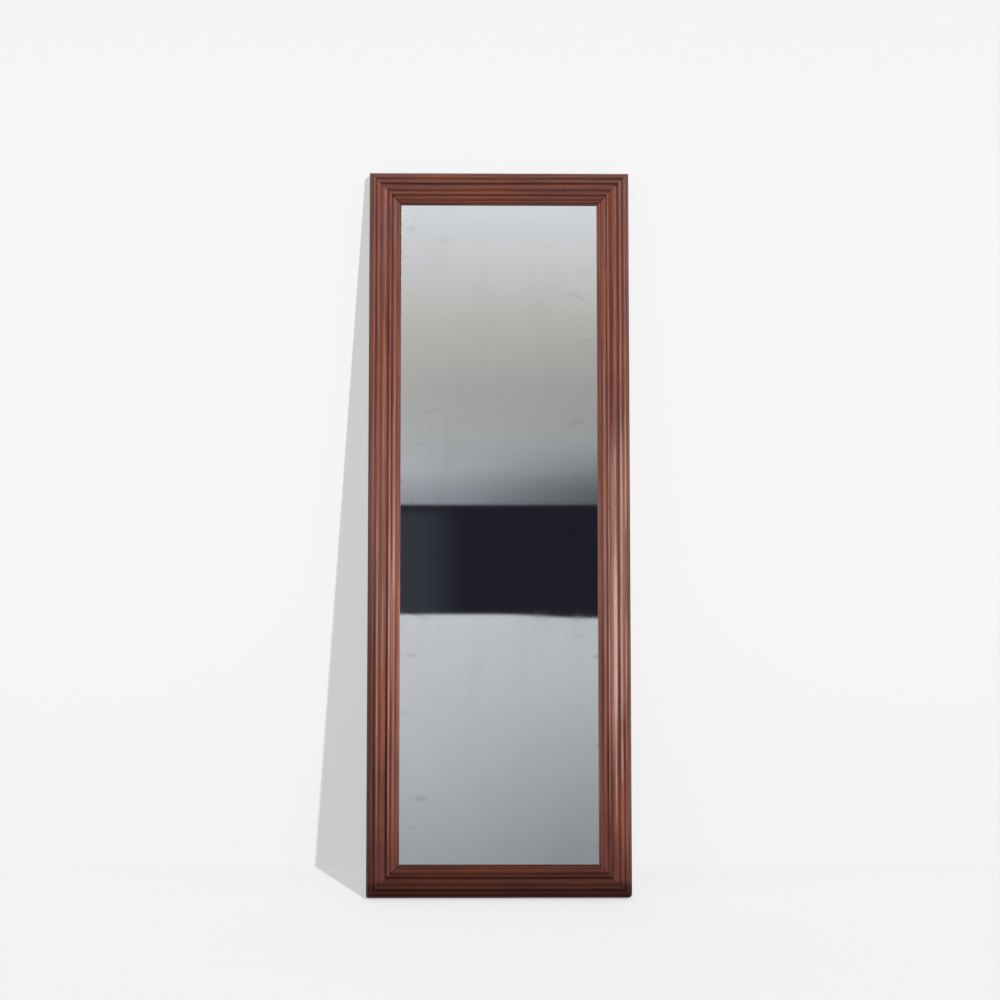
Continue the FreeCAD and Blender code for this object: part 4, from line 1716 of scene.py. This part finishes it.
@dataclass(frozen=True)
class Studio:
    """The room that the mirror leans in, its light and the camera.

    Angles are in degrees, and lengths in metres but for the lens and its sensor.
    """

    lean: float = 9.7
    room: float = 14.0
    floor_glow: float = 0.39
    wall_glow: float = 0.503
    wall_rise: float = 0.03
    lens: float = 79.35
    sensor: float = 36.0
    eye: Triple = (-0.0729, -5.4494, 0.4786)
    pitch: float = 5.21
    swing: float = -0.79
    sun_slant: float = 0.45
    sun_fall: float = 0.27
    sun_strength: float = 1.15
    wall_sun: float = 4.15
    floor_sun: float = 6.0
    sun_angle: float = 1.2
    backdrop: float = 0.90
    sky: tuple[Point, ...] = ((0.0, 0.28), (0.45, 0.36), (0.6, 0.66), (1.0, 0.90))

    def build(self) -> None:
        """Builds the floor, the wall, the light and the camera."""
        floor, wall = self.surfaces()
        self.sun("key", self.sun_strength)
        self.sun("wall key", self.wall_sun, wall)
        self.sun("floor key", self.floor_sun, floor)
        self.world()
        self.camera()

    def surfaces(self) -> list[Object]:
        """Lays the floor under the mirror's back edge and stands the wall where its top rests.

        Returns:
            The floor and the wall.
        """
        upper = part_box("upper_wall_felt")[1]
        lean = math.radians(self.lean)
        foot = Vector((0, FRAME_DEPTH / 2 * MM, 0))
        up = Vector((0, -math.sin(lean), math.cos(lean)))
        away = Vector((0, math.cos(lean), math.sin(lean)))
        reach = (Vector((0, upper.y, upper.z)) - foot).dot(away)
        turn = Matrix((ALONG, away, up)).transposed().to_4x4()
        room = Matrix.Translation(foot + away * reach) @ turn
        floor = Backdrop(screen(148, 148, 148), self.floor_glow).make("floor paint")
        wall = Backdrop(screen(126, 126, 126), self.wall_glow, self.wall_rise).make("wall paint")
        flat = Matrix.Translation((0, -self.room / 2, 0))
        upright = Matrix.Translation((0, 0, self.room / 2)) @ Matrix.Rotation(math.pi / 2, 4, "X")
        laid = []
        for name, place, paint in (("floor", flat, floor), ("wall", upright, wall)):
            bm = bmesh.new()
            bmesh.ops.create_grid(bm, x_segments=2, y_segments=2, size=self.room / 2, matrix=room @ place)
            piece = finish_piece(name, bm)
            dress(piece, paint)
            laid.append(piece)
            log.info("%s laid", name)
        return laid

    def sun(self, name: str, strength: float, receiver: Object | None = None) -> None:
        """Hangs a lamp that throws the mirror's shadow to the left.

        Args:
            name: the lamp's name.
            strength: its strength.
            receiver: the one surface that it lights, or None for all.
        """
        lamp = bpy.data.lights.new(name, "SUN")
        lamp.energy, lamp.angle = strength, math.radians(self.sun_angle)
        piece = bpy.data.objects.new(name, lamp)
        way = Vector((-self.sun_slant, 1.0, -self.sun_fall))
        piece.rotation_mode = "QUATERNION"
        piece.rotation_quaternion = way.to_track_quat("-Z", "Y")
        bpy.context.scene.collection.objects.link(piece)
        if receiver:
            lit = bpy.data.collections.new(name + " receiver")
            lit.objects.link(receiver)
            piece.light_linking.receiver_collection = lit

    def world(self) -> None:
        """Lights the room softly from above, whitens its background and gives glass a room to reflect."""
        sky = bpy.data.worlds.new("room light")
        sky.use_nodes = True
        sky.node_tree.nodes.clear()
        wires = Wiring(sky.node_tree)
        parts = wires.apart(wires.add("ShaderNodeTexCoord").outputs["Generated"])
        steps = [(place, grey(level)) for place, level in self.sky]
        soft = wires.ramp(wires.spread(parts["Z"], -1.0, 1.0), steps)
        rays = wires.named(wires.add("ShaderNodeLightPath"))
        lit = wires.mix(rays["Is Glossy Ray"], soft, Reflections().colour(wires, parts))
        seen = wires.mix(rays["Is Camera Ray"], lit, grey(self.backdrop))
        back = wires.add("ShaderNodeBackground", {"Color": seen, "Strength": 1.0})
        wires.add("ShaderNodeOutputWorld", {"Surface": back.outputs[0]})
        bpy.context.scene.world = sky

    def camera(self) -> None:
        """Sets the camera where the photograph was taken from."""
        lens = bpy.data.cameras.new("camera")
        lens.lens, lens.sensor_width = self.lens, self.sensor
        piece = bpy.data.objects.new("camera", lens)
        piece.location = self.eye
        piece.rotation_euler = (math.radians(90 + self.pitch), 0, math.radians(self.swing))
        bpy.context.scene.collection.objects.link(piece)
        bpy.context.scene.camera = piece


def plain(box: tuple[Vector, Vector]) -> list[list[float]]:
    """A box as plain lists of numbers."""
    return [[round(part, 6) for part in corner] for corner in box]


def main() -> None:
    """Builds the mirror's dressed pieces and the studio."""
    logging.basicConfig(level=logging.INFO, format="%(message)s")
    bpy.context.scene.view_settings.view_transform = "Standard"
    Studio().build()
    Timbers().build()
    Slips().build()
    WallFelts().build()
    Glazing().dress()
    Fastenings().dress()


if __name__ == "__main__":
    main()
